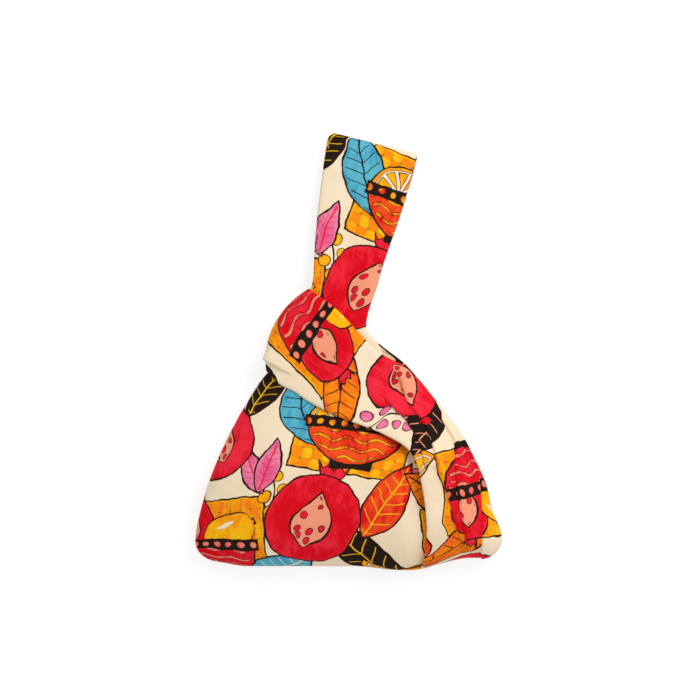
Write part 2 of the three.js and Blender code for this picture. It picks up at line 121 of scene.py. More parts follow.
# Long handle
HANDLE_FOLD = (0.0011, 0.269)
HANDLE_ROOT_TOP = 0.015
HANDLE_END_TOP = 0.0127
HANDLE_END_BOTTOM = 0.0002
HANDLE_SETTLE = 0.060
HANDLE_KNOT_TOP = 0.020
HANDLE_EDGE_DROP = 0.0015
HANDLE_BACK_INSET = 0.0055
FRONT_CUT = 0.150
BACK_CUT = 0.125
SHOULDER_EDGE = (-0.062, 0.180)
KNOT_LEFT_EDGE = (-0.048, 0.211)
EMERGING_ALONG = -0.034
EMERGING_TUCK = 0.0045
KNOT_WAIST = 0.0015
WAIST_ALONG = -0.018
END_CORNERS = (0.006, 0.003)  # rounding of the end's left and right corners
END_SKEW = 0.0012  # how far the end's left corner reaches past its middle
LEAVES_BODY = 0.45
MOUTH_ENDS = (0.25, 0.6)
KNOT_ENDS = 0.35
EDGE_SHARE = 0.25
MOUTH_SHARE = 0.6

# Mouth of the bag, on the right of the long handle
MOUTH_X = 0.030
MOUTH_EDGE = (0.029, 0.186)
MOUTH_CORNER = (0.0155, 0.209)
MOUTH_DIP = 0.007
MOUTH_DROP = 0.010
BACK_MOUTH_X = 0.006
BACK_MOUTH_EDGE = (0.002, 0.165)
BACK_MOUTH_CORNER = (0.012, 0.208)

# Short handle, from the folded end of its loop
LOOP_TOP = (-0.034, 0.2405)
LOOP_FOOT = (-0.0715, 0.1795)
LOOP_BULGE = 0.009
LOOP_BULGE_RUN = 1.5
LOOP_FOLD_DEPTH = 0.008
BAND_UPPER = (-0.010, 0.223)
BAND_LOWER = (-0.042, 0.1505)
BAND_LOWER_BACK = (-0.045, 0.146)
BAND_RISE = 0.0034
LOOP_END_UPPER = (0.0245, 0.188)
LOOP_END_LOWER = (-0.010, 0.133)
LOOP_END_UPPER_BACK = (0.027, 0.192)
LOOP_END_LOWER_BACK = (-0.008, 0.136)
LAP_LOWER = (0.030, 0.1175)
LAP_LOWER_BACK = (0.009, 0.130)
ROOT_BACK_X = 0.022
ARMHOLE_TOP = 0.024
ARMHOLE_MIDDLE = 0.017
ARMHOLE_FOOT = 0.133
LEFT_SEAM_TOP = 0.160
LAP_SHARES = (1.0, 0.7, 0.38, 0.12, 0.0)
STRIP_WIDTH = 0.0046  # the second fold that shows below the band, by the end of its loop
STRIP_RUN = 0.012
STRIP_DROP = 0.0015
STRIP_FROM = 0.05
STRIP_START = 0.2
STRIP_TO = 0.95
STRIP_STOP = 0.4
STRIP_FADE = 0.08
# Stations along it
LOOP_END = 2
AT_SHOULDER = 3
AT_PLEAT = 4
AT_BOTTOM = AT_SHOULDER + len(LAP_SHARES)

# Rows and columns of the cloths
CLOTH_COLUMNS = 140
BODY_ROWS = 84
ROOT_ROWS = 60
FREE_ROWS = 56
BAND_COLUMNS = 150
BAND_ROWS = 230
BAND_FINE_STEPS = 900
BAND_EASING = 0.8  # how far its rows crowd towards its ends
ROW_CROWDING = 1.7
RIM_STEPS = 3

FAR = 0.6  # past the reach of every edge

# Softly rolled free edges
EDGE_RISE = 0.0014
EDGE_ROLL = 0.007

# Stretches that are smoothed where two parts of a long cloth meet
JOIN_REACH = 7
JOIN_PASSES = 40

# Slow unevenness and the puckers beside the seams
WAVES = 7
WAVE_SPREAD = (0.7, 1.5)
FRONT_UNEVEN = 0.0008
FRONT_WAVE = 0.075
SETTLE_REACH = 0.03
BAND_UNEVEN = 0.0006
BAND_WAVE = 0.060
PUCKER_RISE = 0.0004
PUCKER_WAVE = 0.012
PUCKER_REACH = 0.010
SEAM_FADE = 0.02

# Rows of the long cloths: from the body to the free left edge, then rows in which the free edges
# begin to roll and in which the relief fades at the end
FRONT_SHOULDER_ROWS = 8
BACK_SHOULDER_ROWS = 12
ROLL_ROWS = 20
END_ROWS = 14

# How the relief of the short handle fades: stations along it, shares across it and, at last, lengths
BAND_SIDE_FADE = 0.12
BAND_END_FADE = 0.4
ARMHOLE_FADE = 0.5
LAP_FADE = 0.3
FOLD_SIDE = 0.05
FOLD_EDGE = 0.006
FOLD_SEAM = 0.016

# Folds: steps along a route, places handled at once, and shapes in shares of a route or widths of a turn
ROUTE_STEPS = 300
ROUTE_BATCH = 4000
SWELL_FADE = 0.3
FOLD_START = 0.2
CREST_AT = 0.25
TROUGH_SHARE = 0.2
TROUGH_AT = -2.5
PLEAT_FADE = 0.08

# Pleats of the right of the front, from the knot to the bottom: route, how far the cloth is drawn in on
# each side, width of the turn, rise, width in which the rise falls off, and share in which the fold ends
RIGHT_PLEATS = (
    (
        [(0.031, 0.183), (0.045, 0.163), (0.052, 0.144), (0.0636, 0.128)]
        + [(0.072, 0.108), (0.078, 0.085), (0.084, 0.068), (0.098, 0.008)],
        *(0.0082, 0.0030, 0.0046, 0.014, PLEAT_FADE),
    ),
    (
        [(0.024, 0.152), (0.0447, 0.135), (0.0568, 0.1186), (0.062, 0.107), (0.066, 0.086)],
        *(0.0070, 0.0028, 0.0038, 0.011, PLEAT_FADE),
    ),
    (
        [(0.072, 0.140), (0.085, 0.116), (0.0905, 0.098)]
        + [(0.092, 0.075), (0.0955, 0.052), (0.105, 0.012)],
        *(0.0078, 0.0030, 0.0044, 0.012, PLEAT_FADE),
    ),
    (
        [(0.082, 0.128), (0.096, 0.106), (0.107, 0.0885), (0.112, 0.077)]
        + [(0.1135, 0.056), (0.1145, 0.024), (0.1135, 0.006)],
        *(0.0072, 0.0028, 0.0040, 0.009, PLEAT_FADE),
    ),
)
# The band's lower edge over the second fold, as a pleat
STRIP_FOLD = (
    [(-0.0738, 0.1834), (-0.0702, 0.1806), (-0.0612, 0.1758), (-0.0522, 0.1694), (-0.0440, 0.1615)],
    *(0.0062, 0.0024, 0.0026, 0.010, 0.45),
)
# Soft ridges and hollows of the front, from the knot downwards and up the long handle: route, rise, width
FRONT_SWELLS = (
    ([(-0.030, 0.150), (-0.047, 0.120), (-0.070, 0.080), (-0.086, 0.045)], 0.0014, 0.012),
    ([(-0.012, 0.140), (-0.016, 0.105), (-0.026, 0.060)], 0.0010, 0.014),
    ([(0.036, 0.118), (0.042, 0.080), (0.046, 0.035), (0.048, 0.008)], 0.0016, 0.010),
    ([(0.046, 0.124), (0.052, 0.105), (0.056, 0.080)], -0.0030, 0.010),
    ([(-0.004, 0.215), (0.001, 0.250), (0.012, 0.285), (0.022, 0.325)], -0.0034, 0.013),
)

# Sewing: shares of the cloth's thickness and of the hem's width, then lengths and numbers of steps
SEAM_LIP = 0.15
LINING_INSET = 1.1
LINING_SLACK = 0.0022
SLACK_REACH = 0.01
STITCH_MARGIN = 0.005  # how far the stitches of a handle's end keep from its corners
STITCH_FACES = (6, 5)
SEAM_STEPS = 200

# Weave: width of a yarn, its depth, its roughness, and how much smoother it is on the yarns' crests
CANVAS_WEAVE = (0.00055, 0.00012, 0.92, 0.1)
COTTON_WEAVE = (0.0004, 0.0001, 0.95, 0.08)
FLAT_MAP = "flat_pattern"
HALVES = (0.5, 0.5, 0.5)
DRIFT_SCALE = 130.0
DRIFT_REACH = (0.0005, 0.0005, 0.0005)
SLUB_SCALE = 900.0
SLUB_SHARE = 0.7
YARN_CREST_ENDS = (0.1, 1.3)
WEAVE_STRENGTH = 0.6
CLOTH_SPECULAR = 0.06
FLECK_SCALE = 700.0
FLECK_ENDS = (0.6, 0.75)
TWIST_SCALE = 2600.0
TWIST_ENDS = (0.3, 0.7)
TWIST_SHADE = 0.72
THREAD_ROUGHNESS = 0.55
THREAD_UNEVEN = 0.2

# Painted areas: brush strokes, colour pooled at the rim, and inked lines of uneven width
WAVER_SCALE = 55.0
WAVER_REACH = (0.006, 0.006, 0.0)
STREAK_STRETCH = (1.6, 0.5, 1.0)
STREAK_SCALE = 120.0
STREAK_DETAIL = 7.0
STREAK_ROUGHNESS = 0.72
POOL_SCALE = 42.0
POOL_SHARE = 0.55
STAIN_SCALE = 16.0
STAIN_ENDS = (0.35, 0.75)
STAIN_SHARE = 0.30
GROUND_ENDS = (0.4, 1.3)
FADING = 0.008
STROKE_ENDS = (0.42, 0.68)
STROKE_SHARE = 0.8
RIM_POOL = 0.007
RIM_POOL_SHARE = 0.3
AREA_EDGE = 0.0003
AREA_RIM = 0.0025
LINE_EDGE = 0.0002
LINE_SWELL = 1.6
LINE_LEAST = 0.1
LINE_WIDTH = 0.0008
FINE_LINE = 0.0003

# Shapes of the motifs, in metres or shares of a motif's length or width
BLADE_SLOPE = 0.85
STEM_HALF = 0.0007
LEAF_LEAN = 0.3
LEAF_RIM = 0.0022
VEINS = 4.0
VEIN_SLANT = 1.1
VEIN_HALF = 0.045
VEIN_SLOPE = 0.012
CROWN_FROM = 0.84
CROWN_HALF = 0.17
CROWN_FLARE = 0.5
CROWN_HEIGHT = 0.30
CROWN_POINT = 0.13
CUT_LENGTH = 0.62
CUT_WIDTH = 0.42
CUT_LEAN = 0.35
CUT_LINE = 0.0009
CUT_RIM = 0.0024
SEED_SCALE = 95.0
SEED_STRAY = 0.6
SEED_HALF = 0.36
SEED_SLOPE = 0.0105
PITH_OUTER = 0.88
PITH_FOOT = 0.05
FLESH_OUTER = 0.82
FLESH_INNER = 0.14
FLESH_FOOT = 0.10
SEGMENT_TURN = math.pi / 6
SEGMENT_SLOPE = 0.52
SEGMENT_GAP = 0.0016
SEGMENT_LINE = 0.0004
LEMON_TIP = 0.16
LEMON_END = 1.1
GLINT_AT = 0.5
GLINT_HALF = 0.0022
GLINT_TAPER = 0.012
STEM_PACE = 75.0
STEM_SWAY = 0.004
BERRY_PITCH = 0.013
BERRY_HALF = 0.62
BERRY_LINE = 0.0005
CHECK_PITCH = 0.018
CHECK_SLOPE = 3 * CHECK_PITCH
CHECK_HALF = 0.25
FOOT_LENGTH = 0.42
FOOT_HALF = 0.09
STRIPES = 4.0
STRIPE_HALF = 0.15
WAVE_PACE = 260.0
WAVE_SHARE = 0.22
RIM_LENGTH = 1.05
RIM_HALF = 0.13
BEAD_PITCH = 0.0105
BEAD_HALF = 0.075
BEAD_RIM = 0.001

# One repeat of the print, where each cloth is cut from it, and its motifs from the lowest layer up: kind,
# place, turn in degrees, length, width and colours
PRINT_REPEAT = (0.240, 0.212, 1.0)
PRINT_PLACES = {
    "front": (0.118, 0.020),
    "back": (0.020, 0.090),
    "front_short_handle": (0.050, 0.010),
    "back_short_handle": (0.160, 0.120),
}
PRINT_MOTIFS = (
    ("check", (0.062, 0.050), 7, 0.052, 0.042, "orange", "yellow", "vermilion"),
    ("check", (0.178, 0.156), -9, 0.050, 0.040, "yellow", "orange", "orange"),
    ("sprig", (0.116, 0.100), 24, 0.036, 0.0075, "yellow", "orange", "yellow"),
    ("sprig", (0.010, 0.140), -18, 0.036, 0.0075, "pink", "rose", "pink"),
    ("leaf", (0.120, 0.024), -62, 0.040, 0.019, "turquoise", "blue", "cream"),
    ("leaf", (0.198, 0.040), 38, 0.046, 0.020, "ink", "ink", "yellow"),
    ("leaf", (0.214, 0.094), -28, 0.038, 0.017, "vermilion", "red", "yellow"),
    ("leaf", (0.020, 0.098), 62, 0.040, 0.017, "orange", "vermilion", "ink"),
    ("leaf", (0.130, 0.178), 22, 0.040, 0.018, "turquoise", "blue", "ink"),
    ("leaf", (0.030, 0.186), 70, 0.044, 0.019, "ink", "ink", "salmon"),
    ("leaf", (0.096, 0.196), -20, 0.032, 0.014, "ink", "ink", "yellow"),
    ("leaf", (0.094, 0.120), 32, 0.024, 0.010, "pink", "rose", "coral"),
    ("leaf", (0.108, 0.124), -12, 0.024, 0.010, "rose", "pink", "coral"),
    ("fruit", (0.042, 0.066), 16, 0.027, 0.027, "red", "coral", "salmon"),
    ("lemon", (0.082, 0.064), -60, 0.022, 0.015, "yellow", "orange", "cream"),
    ("bowl", (0.062, 0.050), 5, 0.044, 0.038, "red", "coral", "salmon"),
    ("fruit", (0.152, 0.076), -14, 0.040, 0.040, "red", "coral", "salmon"),
    ("fruit", (0.056, 0.146), 26, 0.036, 0.036, "coral", "red", "salmon"),
    ("slice", (0.164, 0.162), 14, 0.026, 0.026, "orange", "yellow", "cream"),
    ("lemon", (0.204, 0.170), 40, 0.018, 0.013, "orange", "vermilion", "yellow"),
    ("bowl", (0.180, 0.160), -6, 0.042, 0.036, "vermilion", "red", "yellow"),
    ("slice", (0.226, 0.020), 150, 0.036, 0.036, "orange", "yellow", "cream"),
)

# Stage
LAMP_PLACE = (0.75, 0.85, 1.15)
VIEW_CENTRE = (0.0017, 0.0013, 0.0)
WHITE = (1.0, 1.0, 1.0)
TABLE_WIDTH = 4.0
TABLE_DROP = 0.0002  # just clear of the bag
TABLE_BOUNCE = (0.85, 0.85, 0.85)
TABLE_SHADE = (0.3, 0.3, 0.3)
TABLE_GLOW = 0.76


def linear(code):
    """The linear colour of a screen colour written as six hexadecimal digits."""
    shares = [int(code[i : i + 2], 16) / 255 for i in (0, 2, 4)]
    return tuple(s / 12.92 if s <= 0.04045 else ((s + 0.055) / 1.055) ** 2.4 for s in shares)


def length(name, default, description):
    """A length that the sidebar shows in the scene's units."""
    return FloatProperty(
        name=name, description=description, default=default, min=0.0, precision=4, unit="LENGTH"
    )


def paint(name, code, description):
    """A colour that the sidebar shows as a swatch."""
    return FloatVectorProperty(
        name=name, description=description, default=linear(code), min=0.0, max=1.0, subtype="COLOR"
    )


class KnotBagSizes(bpy.types.PropertyGroup):
    """Sizes of the cloths, the body, the handles and the seams."""

    cloth: length("Printed cloth", 0.0012, "Thickness of the printed canvas")
    hem: length("Turned edge", 0.0023, "Thickness of the canvas where it is turned in")
    hem_width: length("Turned edge width", 0.0026, "Width of the turned edge")
    lining: length("Lining", 0.0008, "Thickness of the cotton lining")
    layer_gap: length("Layer gap", 0.0003, "Between the canvas and its lining")
    base_width: length("Base width", CAD_BOX[1].x - CAD_BOX[0].x, "Across the bottom corners")
    shoulder_height: length("Shoulder height", 0.170, "From the bottom seam to the shoulders")
    seam_height: length("Seam height", 0.013, "The side and bottom seams above the table")
    belly_rise: length("Belly", 0.030, "The fullest part of the front above the seams")
    handle_free: length("Handle length", 0.099, "The free part of the long handle")
    handle_root_width: length("Handle width", 0.061, "Of the long handle above the knot")
    handle_end_width: length("Handle end width", 0.0765, "Of the long handle at its end")
    handle_lean: FloatProperty(
        name="Handle lean",
        description="How far the long handle leans to the right",
        default=math.radians(12),
        subtype="ANGLE",
    )
    loop_height: length("Knot height", 0.026, "The knot above the table")
    stitch: length("Stitch", 0.0022, "Length of one stitch of the seams")
    stitch_gap: length("Stitch gap", 0.0007, "Between one stitch and the next")
    thread: length("Thread", 0.0005, "Thickness of the sewing thread")


class KnotBagColours(bpy.types.PropertyGroup):
    """Colours of the print, the lining and the thread."""

    cream: paint("Ground", "F4E1C3", "Ground of the print")
    # The sand colour also fills the hollows of the lining's weave, as painted shade.
    sand: paint("Ground wash", "E9C696", "Uneven dye on the ground")
    red: paint("Red", "DA0216", "Ripe fruit")
    coral: paint("Coral", "F02A40", "Paler strokes on the red")
    vermilion: paint("Vermilion", "F4511E", "Rind and small leaves")
    orange: paint("Orange", "F98A0E", "Citrus")
    yellow: paint("Yellow", "FDBE10", "Citrus segments and veins")
    turquoise: paint("Turquoise", "5CB3C6", "Broad leaves")
    blue: paint("Blue", "2F8CB2", "Strokes on the leaves")
    pink: paint("Pink", "F08AA8", "Buds")
    rose: paint("Rose", "E4568A", "Strokes on the buds")
    salmon: paint("Salmon", "F39A78", "Inside of the fruit")
    ink: paint("Ink", "221510", "Outlines and dark leaves")
    lining: paint("Lining", "EFE2C8", "Plain cotton of the lining")
    thread: paint("Thread", "E9D6B4", "Sewing thread of the seams")


class KnotBagStage(bpy.types.PropertyGroup):
    """The camera's view and the light."""

    view_width: length("View width", 0.602, "Width of the table that the picture shows")
    view_distance: length("Camera height", 2.4, "Camera above the table")
    sky: FloatProperty(name="Sky", description="Strength of the even light", default=0.72, min=0.0)
    key: FloatProperty(
        name="Key lamp", description="Power of the soft lamp", default=12.0, min=0.0, unit="POWER"
    )
    key_size: length("Key lamp size", 0.9, "Width of the soft lamp")
    seed: IntProperty(name="Seed", description="Sets the small unevenness of the cloth", default=7)


class KnotBagSettings(bpy.types.PropertyGroup):
    """All the settings of the bag."""

    sizes: PointerProperty(type=KnotBagSizes)
    colours: PointerProperty(type=KnotBagColours)
    stage: PointerProperty(type=KnotBagStage)


# Curves and profiles


def mix(start, end, share):
    """A value between two others."""
    return start + (end - start) * share


def smooth(share):
    """Eases from 0 to 1."""
    share = np.clip(share, 0.0, 1.0)
    return share * share * (3 - 2 * share)


def between(ends, value):
    """Eases from 0 to 1 as a value goes from one end to the other."""
    return smooth((value - ends[0]) / (ends[1] - ends[0]))


def quarter_round(share):
    """A quarter of a circle: 0 at an edge, 1 where the cloth has levelled out."""
    return np.sqrt(1 - (1 - np.clip(share, 0.0, 1.0)) ** 2)


def crowded(share):
    """Crowds shares towards 0, where a cloth turns over its rounded edge."""
    return 1 - np.cos(share * np.pi / 2)


def spline(points, share):
    """Points of a smooth curve through the given ones, for shares of its spans."""
    points = np.asarray(points, float)
    last = len(points) - 1
    place = np.clip(share, 0.0, 1.0) * last
    span = np.minimum(place.astype(int), last - 1)
    step = (place - span)[..., None]
    start, end = points[span], points[span + 1]
    leaving = (end - points[np.maximum(span - 1, 0)]) / 2
    arriving = (points[np.minimum(span + 2, last)] - start) / 2
    cubic = (2 * (start - end) + leaving + arriving) * step**3
    square = (3 * (end - start) - 2 * leaving - arriving) * step**2
    return cubic + square + leaving * step + start


def rolling(plan, wavelength, seed):
    """Slow unevenness from -1 to 1 over places in plan: a few waves in seeded directions."""
    draw = np.random.default_rng(seed)
    total = np.zeros(plan.shape[:-1])
    for _ in range(WAVES):
        angle, phase = draw.uniform(0, 2 * np.pi, 2)
        pace = 2 * np.pi / (wavelength * draw.uniform(*WAVE_SPREAD))
        total += np.sin((plan[..., 0] * np.cos(angle) + plan[..., 1] * np.sin(angle)) * pace + phase)
    return total / WAVES


# Outline and swell of the body


def corner_inset(height):
    """How far a rounded bottom corner comes in at a height."""
    below = np.maximum(CORNER_RADIUS - height, 0.0)
    return CORNER_RADIUS - np.sqrt(CORNER_RADIUS**2 - below**2)


def side_taper(sizes, height, taper, bow):
    """How far a side leans in at a height."""
    share = np.maximum(height - CORNER_RADIUS, 0.0) / (sizes.shoulder_height - CORNER_RADIUS)
    return taper * share**bow


def left_x(sizes, height):
    """The left side of the body."""
    inset = corner_inset(height) + side_taper(sizes, height, LEFT_TAPER, LEFT_BOW)
    return inset - sizes.base_width / 2


def right_x(sizes, height):
    """The right side of the body."""
    inset = corner_inset(height) + side_taper(sizes, height, RIGHT_TAPER, RIGHT_BOW)
    dent = RIGHT_DENT * np.exp(-(((height - RIGHT_DENT_AT) / RIGHT_DENT_REACH) ** 2))
    return sizes.base_width / 2 - inset - dent


def pleat_x(height):
    """The edge of the deep pleat."""
    return PLEAT_X - PLEAT_BOW * ((height - PLEAT_HEIGHT) / (PLEAT_TOP - PLEAT_HEIGHT)) ** 2


def placed(x, height, z):
    """Points of the body, with its corners drawn up and its bottom a little uneven."""
    low = 1 - smooth(height / LIFT_REACH)
    lift = RIGHT_LIFT * between(RIGHT_LIFT_ENDS, x) + LEFT_LIFT * between(LEFT_LIFT_ENDS, x)
    lift = lift + BOTTOM_RISE * (1 - between(BOTTOM_RISE_ENDS, x))
    return np.stack(np.broadcast_arrays(x, height + lift * low, z), axis=-1)


def front_z(sizes, x, height):
    """Height of the front of the body above the table."""
    upper = smooth((height - BELLY_HEIGHT) / (sizes.shoulder_height - BELLY_HEIGHT))
    rise = mix(sizes.belly_rise, SHOULDER_RISE, upper)
    round_width = mix(BELLY_ROUND, SHOULDER_ROUND, upper)
    sides = quarter_round((x - left_x(sizes, height)) / round_width)
    sides = sides * quarter_round((right_x(sizes, height) - x) / round_width)
    return sizes.seam_height + rise * sides * quarter_round(height / BOTTOM_ROUND)


def back_z(sizes, x, height):
    """Height of the back of the body above the table."""
    sides = quarter_round((x - left_x(sizes, height)) / BACK_ROUND)
    sides = sides * quarter_round((right_x(sizes, height) - x) / BACK_ROUND)
    edge = sizes.seam_height * (1 - sides * quarter_round(height / BACK_ROUND))
    step_up = smooth((height - BACK_CUT + BACK_STEP_REACH) / BACK_STEP_REACH)
    return edge + BACK_STEP * step_up * (1 - smooth((x - BACK_STEP_AT) / BACK_STEP_RUN)) * sides


# Surfaces of the four cloths: rows along a cloth, columns across it


def grid_tangents(points):
    """Steps across and along a grid of points."""
    return np.gradient(points, axis=1), np.gradient(points, axis=0)


def unit(vectors):
    """Vectors of length 1."""
    return vectors / np.maximum(np.linalg.norm(vectors, axis=-1, keepdims=True), 1e-12)


def grid_normals(points):
    """Unit normals of a grid, on the side from which its rows run anticlockwise."""
    across, along = grid_tangents(points)
    return unit(np.cross(across, along))


def front_body(sizes, across):
    """The middle and left of the front: it goes down beneath the pleat and towards the mouth."""
    height = FRONT_CUT * np.linspace(0, 1, BODY_ROWS)[:, None] ** ROW_CROWDING
    towards_mouth = smooth((height - PLEAT_TOP) / (FRONT_CUT - PLEAT_TOP))
    edge = mix(pleat_x(height) + PLEAT_TUCK, MOUTH_X, towards_mouth)
    x = mix(left_x(sizes, height), edge, across)
    hollow = PLEAT_HOLLOW * np.exp(-(((height - PLEAT_HOLLOW_AT) / PLEAT_HOLLOW_REACH) ** 2))
    depth = mix(PLEAT_DIP, MOUTH_DIP, towards_mouth) + hollow
    dip = depth * smooth((x - edge + PLEAT_TUCK + PLEAT_DIP_RUN) / PLEAT_DIP_RUN)
    points = placed(x, height, front_z(sizes, x, height))
    return points - dip[..., None] * grid_normals(points)


def back_split(height, mouth_x):
    """Where an edge of the back runs, from the bottom seam up to its own side of the mouth."""
    side = math.copysign(BACK_SPLIT_GAP / 2, mouth_x - BACK_SPLIT)
    return mix(BACK_SPLIT + side, mouth_x, between(BACK_SPLIT_ENDS, height))


def back_body(sizes, across):
    """The left of the back of the bag, up to the long handle."""
    height = BACK_CUT * np.linspace(0, 1, BODY_ROWS)[:, None] ** ROW_CROWDING
    x = mix(left_x(sizes, height), back_split(height, BACK_MOUTH_X), across)
    return placed(x, height, back_z(sizes, x, height))


def handle_point(sizes, along, across):
    """A place on the long handle, from the middle of the line where its free part folds up."""
    sine, cosine = math.sin(sizes.handle_lean), math.cos(sizes.handle_lean)
    x = HANDLE_FOLD[0] + along * sine + across * cosine
    return np.stack(np.broadcast_arrays(x, HANDLE_FOLD[1] + along * cosine - across * sine), axis=-1)


def handle_root(sizes, across, is_front):
    """The stretch of the long handle from the body through the knot."""
    start = FRONT_CUT if is_front else BACK_CUT
    mouth_x = MOUTH_X if is_front else BACK_MOUTH_X
    half = sizes.handle_root_width / 2 - (0 if is_front else HANDLE_BACK_INSET)
    share = np.linspace(0, 1, ROOT_ROWS)[1:, None]
    left = spline(
        [
            (left_x(sizes, start), start),
            SHOULDER_EDGE,
            KNOT_LEFT_EDGE,
            handle_point(sizes, EMERGING_ALONG, EMERGING_TUCK - half),
            handle_point(sizes, 0.0, -half),
        ],
        share,
    )
    right = spline(
        [
            (mouth_x, start),
            MOUTH_EDGE if is_front else BACK_MOUTH_EDGE,
            MOUTH_CORNER if is_front else BACK_MOUTH_CORNER,
            handle_point(sizes, WAIST_ALONG, half - KNOT_WAIST),
            handle_point(sizes, 0.0, half),
        ],
        share,
    )
    plan = mix(left, right, across[..., None])
    body_x = mix(left_x(sizes, start), mouth_x, across)
    free = smooth(share / LEAVES_BODY)
    if not is_front:
        z = mix(back_z(sizes, body_x, start), BACK_STEP, free)
        return np.concatenate([plan, z[..., None]], axis=-1)
    past_dip = (body_x - mouth_x + PLEAT_DIP_RUN + PLEAT_TUCK) / PLEAT_DIP_RUN
    body_top = front_z(sizes, body_x, start) - MOUTH_DIP * smooth(past_dip)
    drop = mix(MOUTH_DROP, HANDLE_EDGE_DROP, between(MOUTH_ENDS, share))
    left_drop = HANDLE_EDGE_DROP * (1 - quarter_round(across / EDGE_SHARE))
    right_drop = drop * (1 - quarter_round((1 - across) / mix(MOUTH_SHARE, EDGE_SHARE, smooth(share))))
    top = mix(HANDLE_KNOT_TOP, HANDLE_ROOT_TOP, smooth((share - KNOT_ENDS) / (1 - KNOT_ENDS)))
    z = mix(body_top, top - left_drop - right_drop, free)
    return np.concatenate([plan, z[..., None]], axis=-1)


def handle_free(sizes, across, is_front):
    """The free part of the long handle, whose two layers meet in a rounded turn at its end."""
    root_width = sizes.handle_root_width - (0 if is_front else 2 * HANDLE_BACK_INSET)
    root_z, end_z = (HANDLE_ROOT_TOP, HANDLE_END_TOP) if is_front else (BACK_STEP, HANDLE_END_BOTTOM)
    along = sizes.handle_free * np.sin(np.linspace(0, 1, FREE_ROWS)[1:, None] * np.pi / 2)
    half = mix(root_width, sizes.handle_end_width, np.sin(along / sizes.handle_free * np.pi / 2)) / 2
    left_corner, right_corner = END_CORNERS
    to_end = sizes.handle_free - along
    left = left_corner * (1 - quarter_round(to_end / left_corner)) - half
    right = half - right_corner * (1 - quarter_round(to_end / right_corner))
    edges = quarter_round(across / EDGE_SHARE) * quarter_round((1 - across) / EDGE_SHARE)
    drop = HANDLE_EDGE_DROP * (1 - edges) if is_front else 0.0
    level = mix(root_z, end_z, smooth(along / HANDLE_SETTLE)) - drop
    turn = (HANDLE_END_TOP - HANDLE_END_BOTTOM) / 2
    seam_z = (HANDLE_END_TOP + HANDLE_END_BOTTOM) / 2
    z = mix(seam_z, level, quarter_round(to_end / turn))
    skew = END_SKEW * (1 - 2 * across) * smooth(along / sizes.handle_free)
    plan = handle_point(sizes, along + skew, mix(left, right, across))
    return np.concatenate([plan, np.broadcast_to(z, plan.shape[:-1])[..., None]], axis=-1)


def ease_joins(points, joins, reach, passes):
    """Smooths a cloth along its length around the rows where two stretches meet."""
    rows = np.arange(len(points))
    share = np.zeros(len(points))
    for join in joins:
        share = np.maximum(share, np.exp(-(((rows - join) / reach) ** 2)))
    for _ in range(passes):
        middle = (points[:-2] + 2 * points[1:-1] + points[2:]) / 4
        points[1:-1] += (middle - points[1:-1]) * share[1:-1, None, None]
    return points


def long_cloth(sizes, is_front):
    """The front or back cloth, from the bottom seam to the end of the long handle."""
    across = crowded(np.linspace(0, 1, CLOTH_COLUMNS))[None, :]
    body = front_body(sizes, across) if is_front else back_body(sizes, across)
    stretches = [body, handle_root(sizes, across, is_front), handle_free(sizes, across, is_front)]
    joins = (len(body), len(body) + ROOT_ROWS - 1)
    return ease_joins(np.concatenate(stretches), joins, JOIN_REACH, JOIN_PASSES)


def short_stations(sizes, is_front):
    """Inner and outer edge points of the short handle, from its folded end to the body."""
    shoulder = (right_x(sizes, sizes.shoulder_height), sizes.shoulder_height)
    if is_front:
        inner = [LOOP_FOOT, BAND_LOWER, LOOP_END_LOWER, LAP_LOWER]
        outer = [LOOP_TOP, BAND_UPPER, LOOP_END_UPPER, shoulder]
        for share in LAP_SHARES:
            inner.append((pleat_x(share * PLEAT_TOP), share * PLEAT_TOP))
            outer.append((right_x(sizes, share * ARMHOLE_FOOT), share * ARMHOLE_FOOT))
    else:
        inner = [LOOP_FOOT, BAND_LOWER_BACK, LOOP_END_LOWER_BACK, LAP_LOWER_BACK]
        outer = [LOOP_TOP, BAND_UPPER, LOOP_END_UPPER_BACK, shoulder]
        for share in LAP_SHARES:
            inner.append((back_split(share * BACK_CUT, ROOT_BACK_X), share * BACK_CUT))
            outer.append((right_x(sizes, share * BACK_CUT), share * BACK_CUT))
    return np.array(inner), np.array(outer)


def short_plan(sizes, stations, t, r):
    """Places of the short handle in plan: t along its stations, r from its inner edge."""
    inner, outer = stations
    spans = len(inner) - 1
    edge = spline(outer, t / spans)
    beside = right_x(sizes, edge[..., 1])
    edge[..., 0] = np.where(t > AT_SHOULDER, beside, edge[..., 0])
    outward = unit(np.array([LOOP_FOOT[1] - LOOP_TOP[1], LOOP_TOP[0] - LOOP_FOOT[0]]))
    bow = LOOP_BULGE * 4 * r * (1 - r) * (1 - smooth(t / LOOP_BULGE_RUN))
    return mix(spline(inner, t / spans), edge, r[..., None]) + bow[..., None] * outward


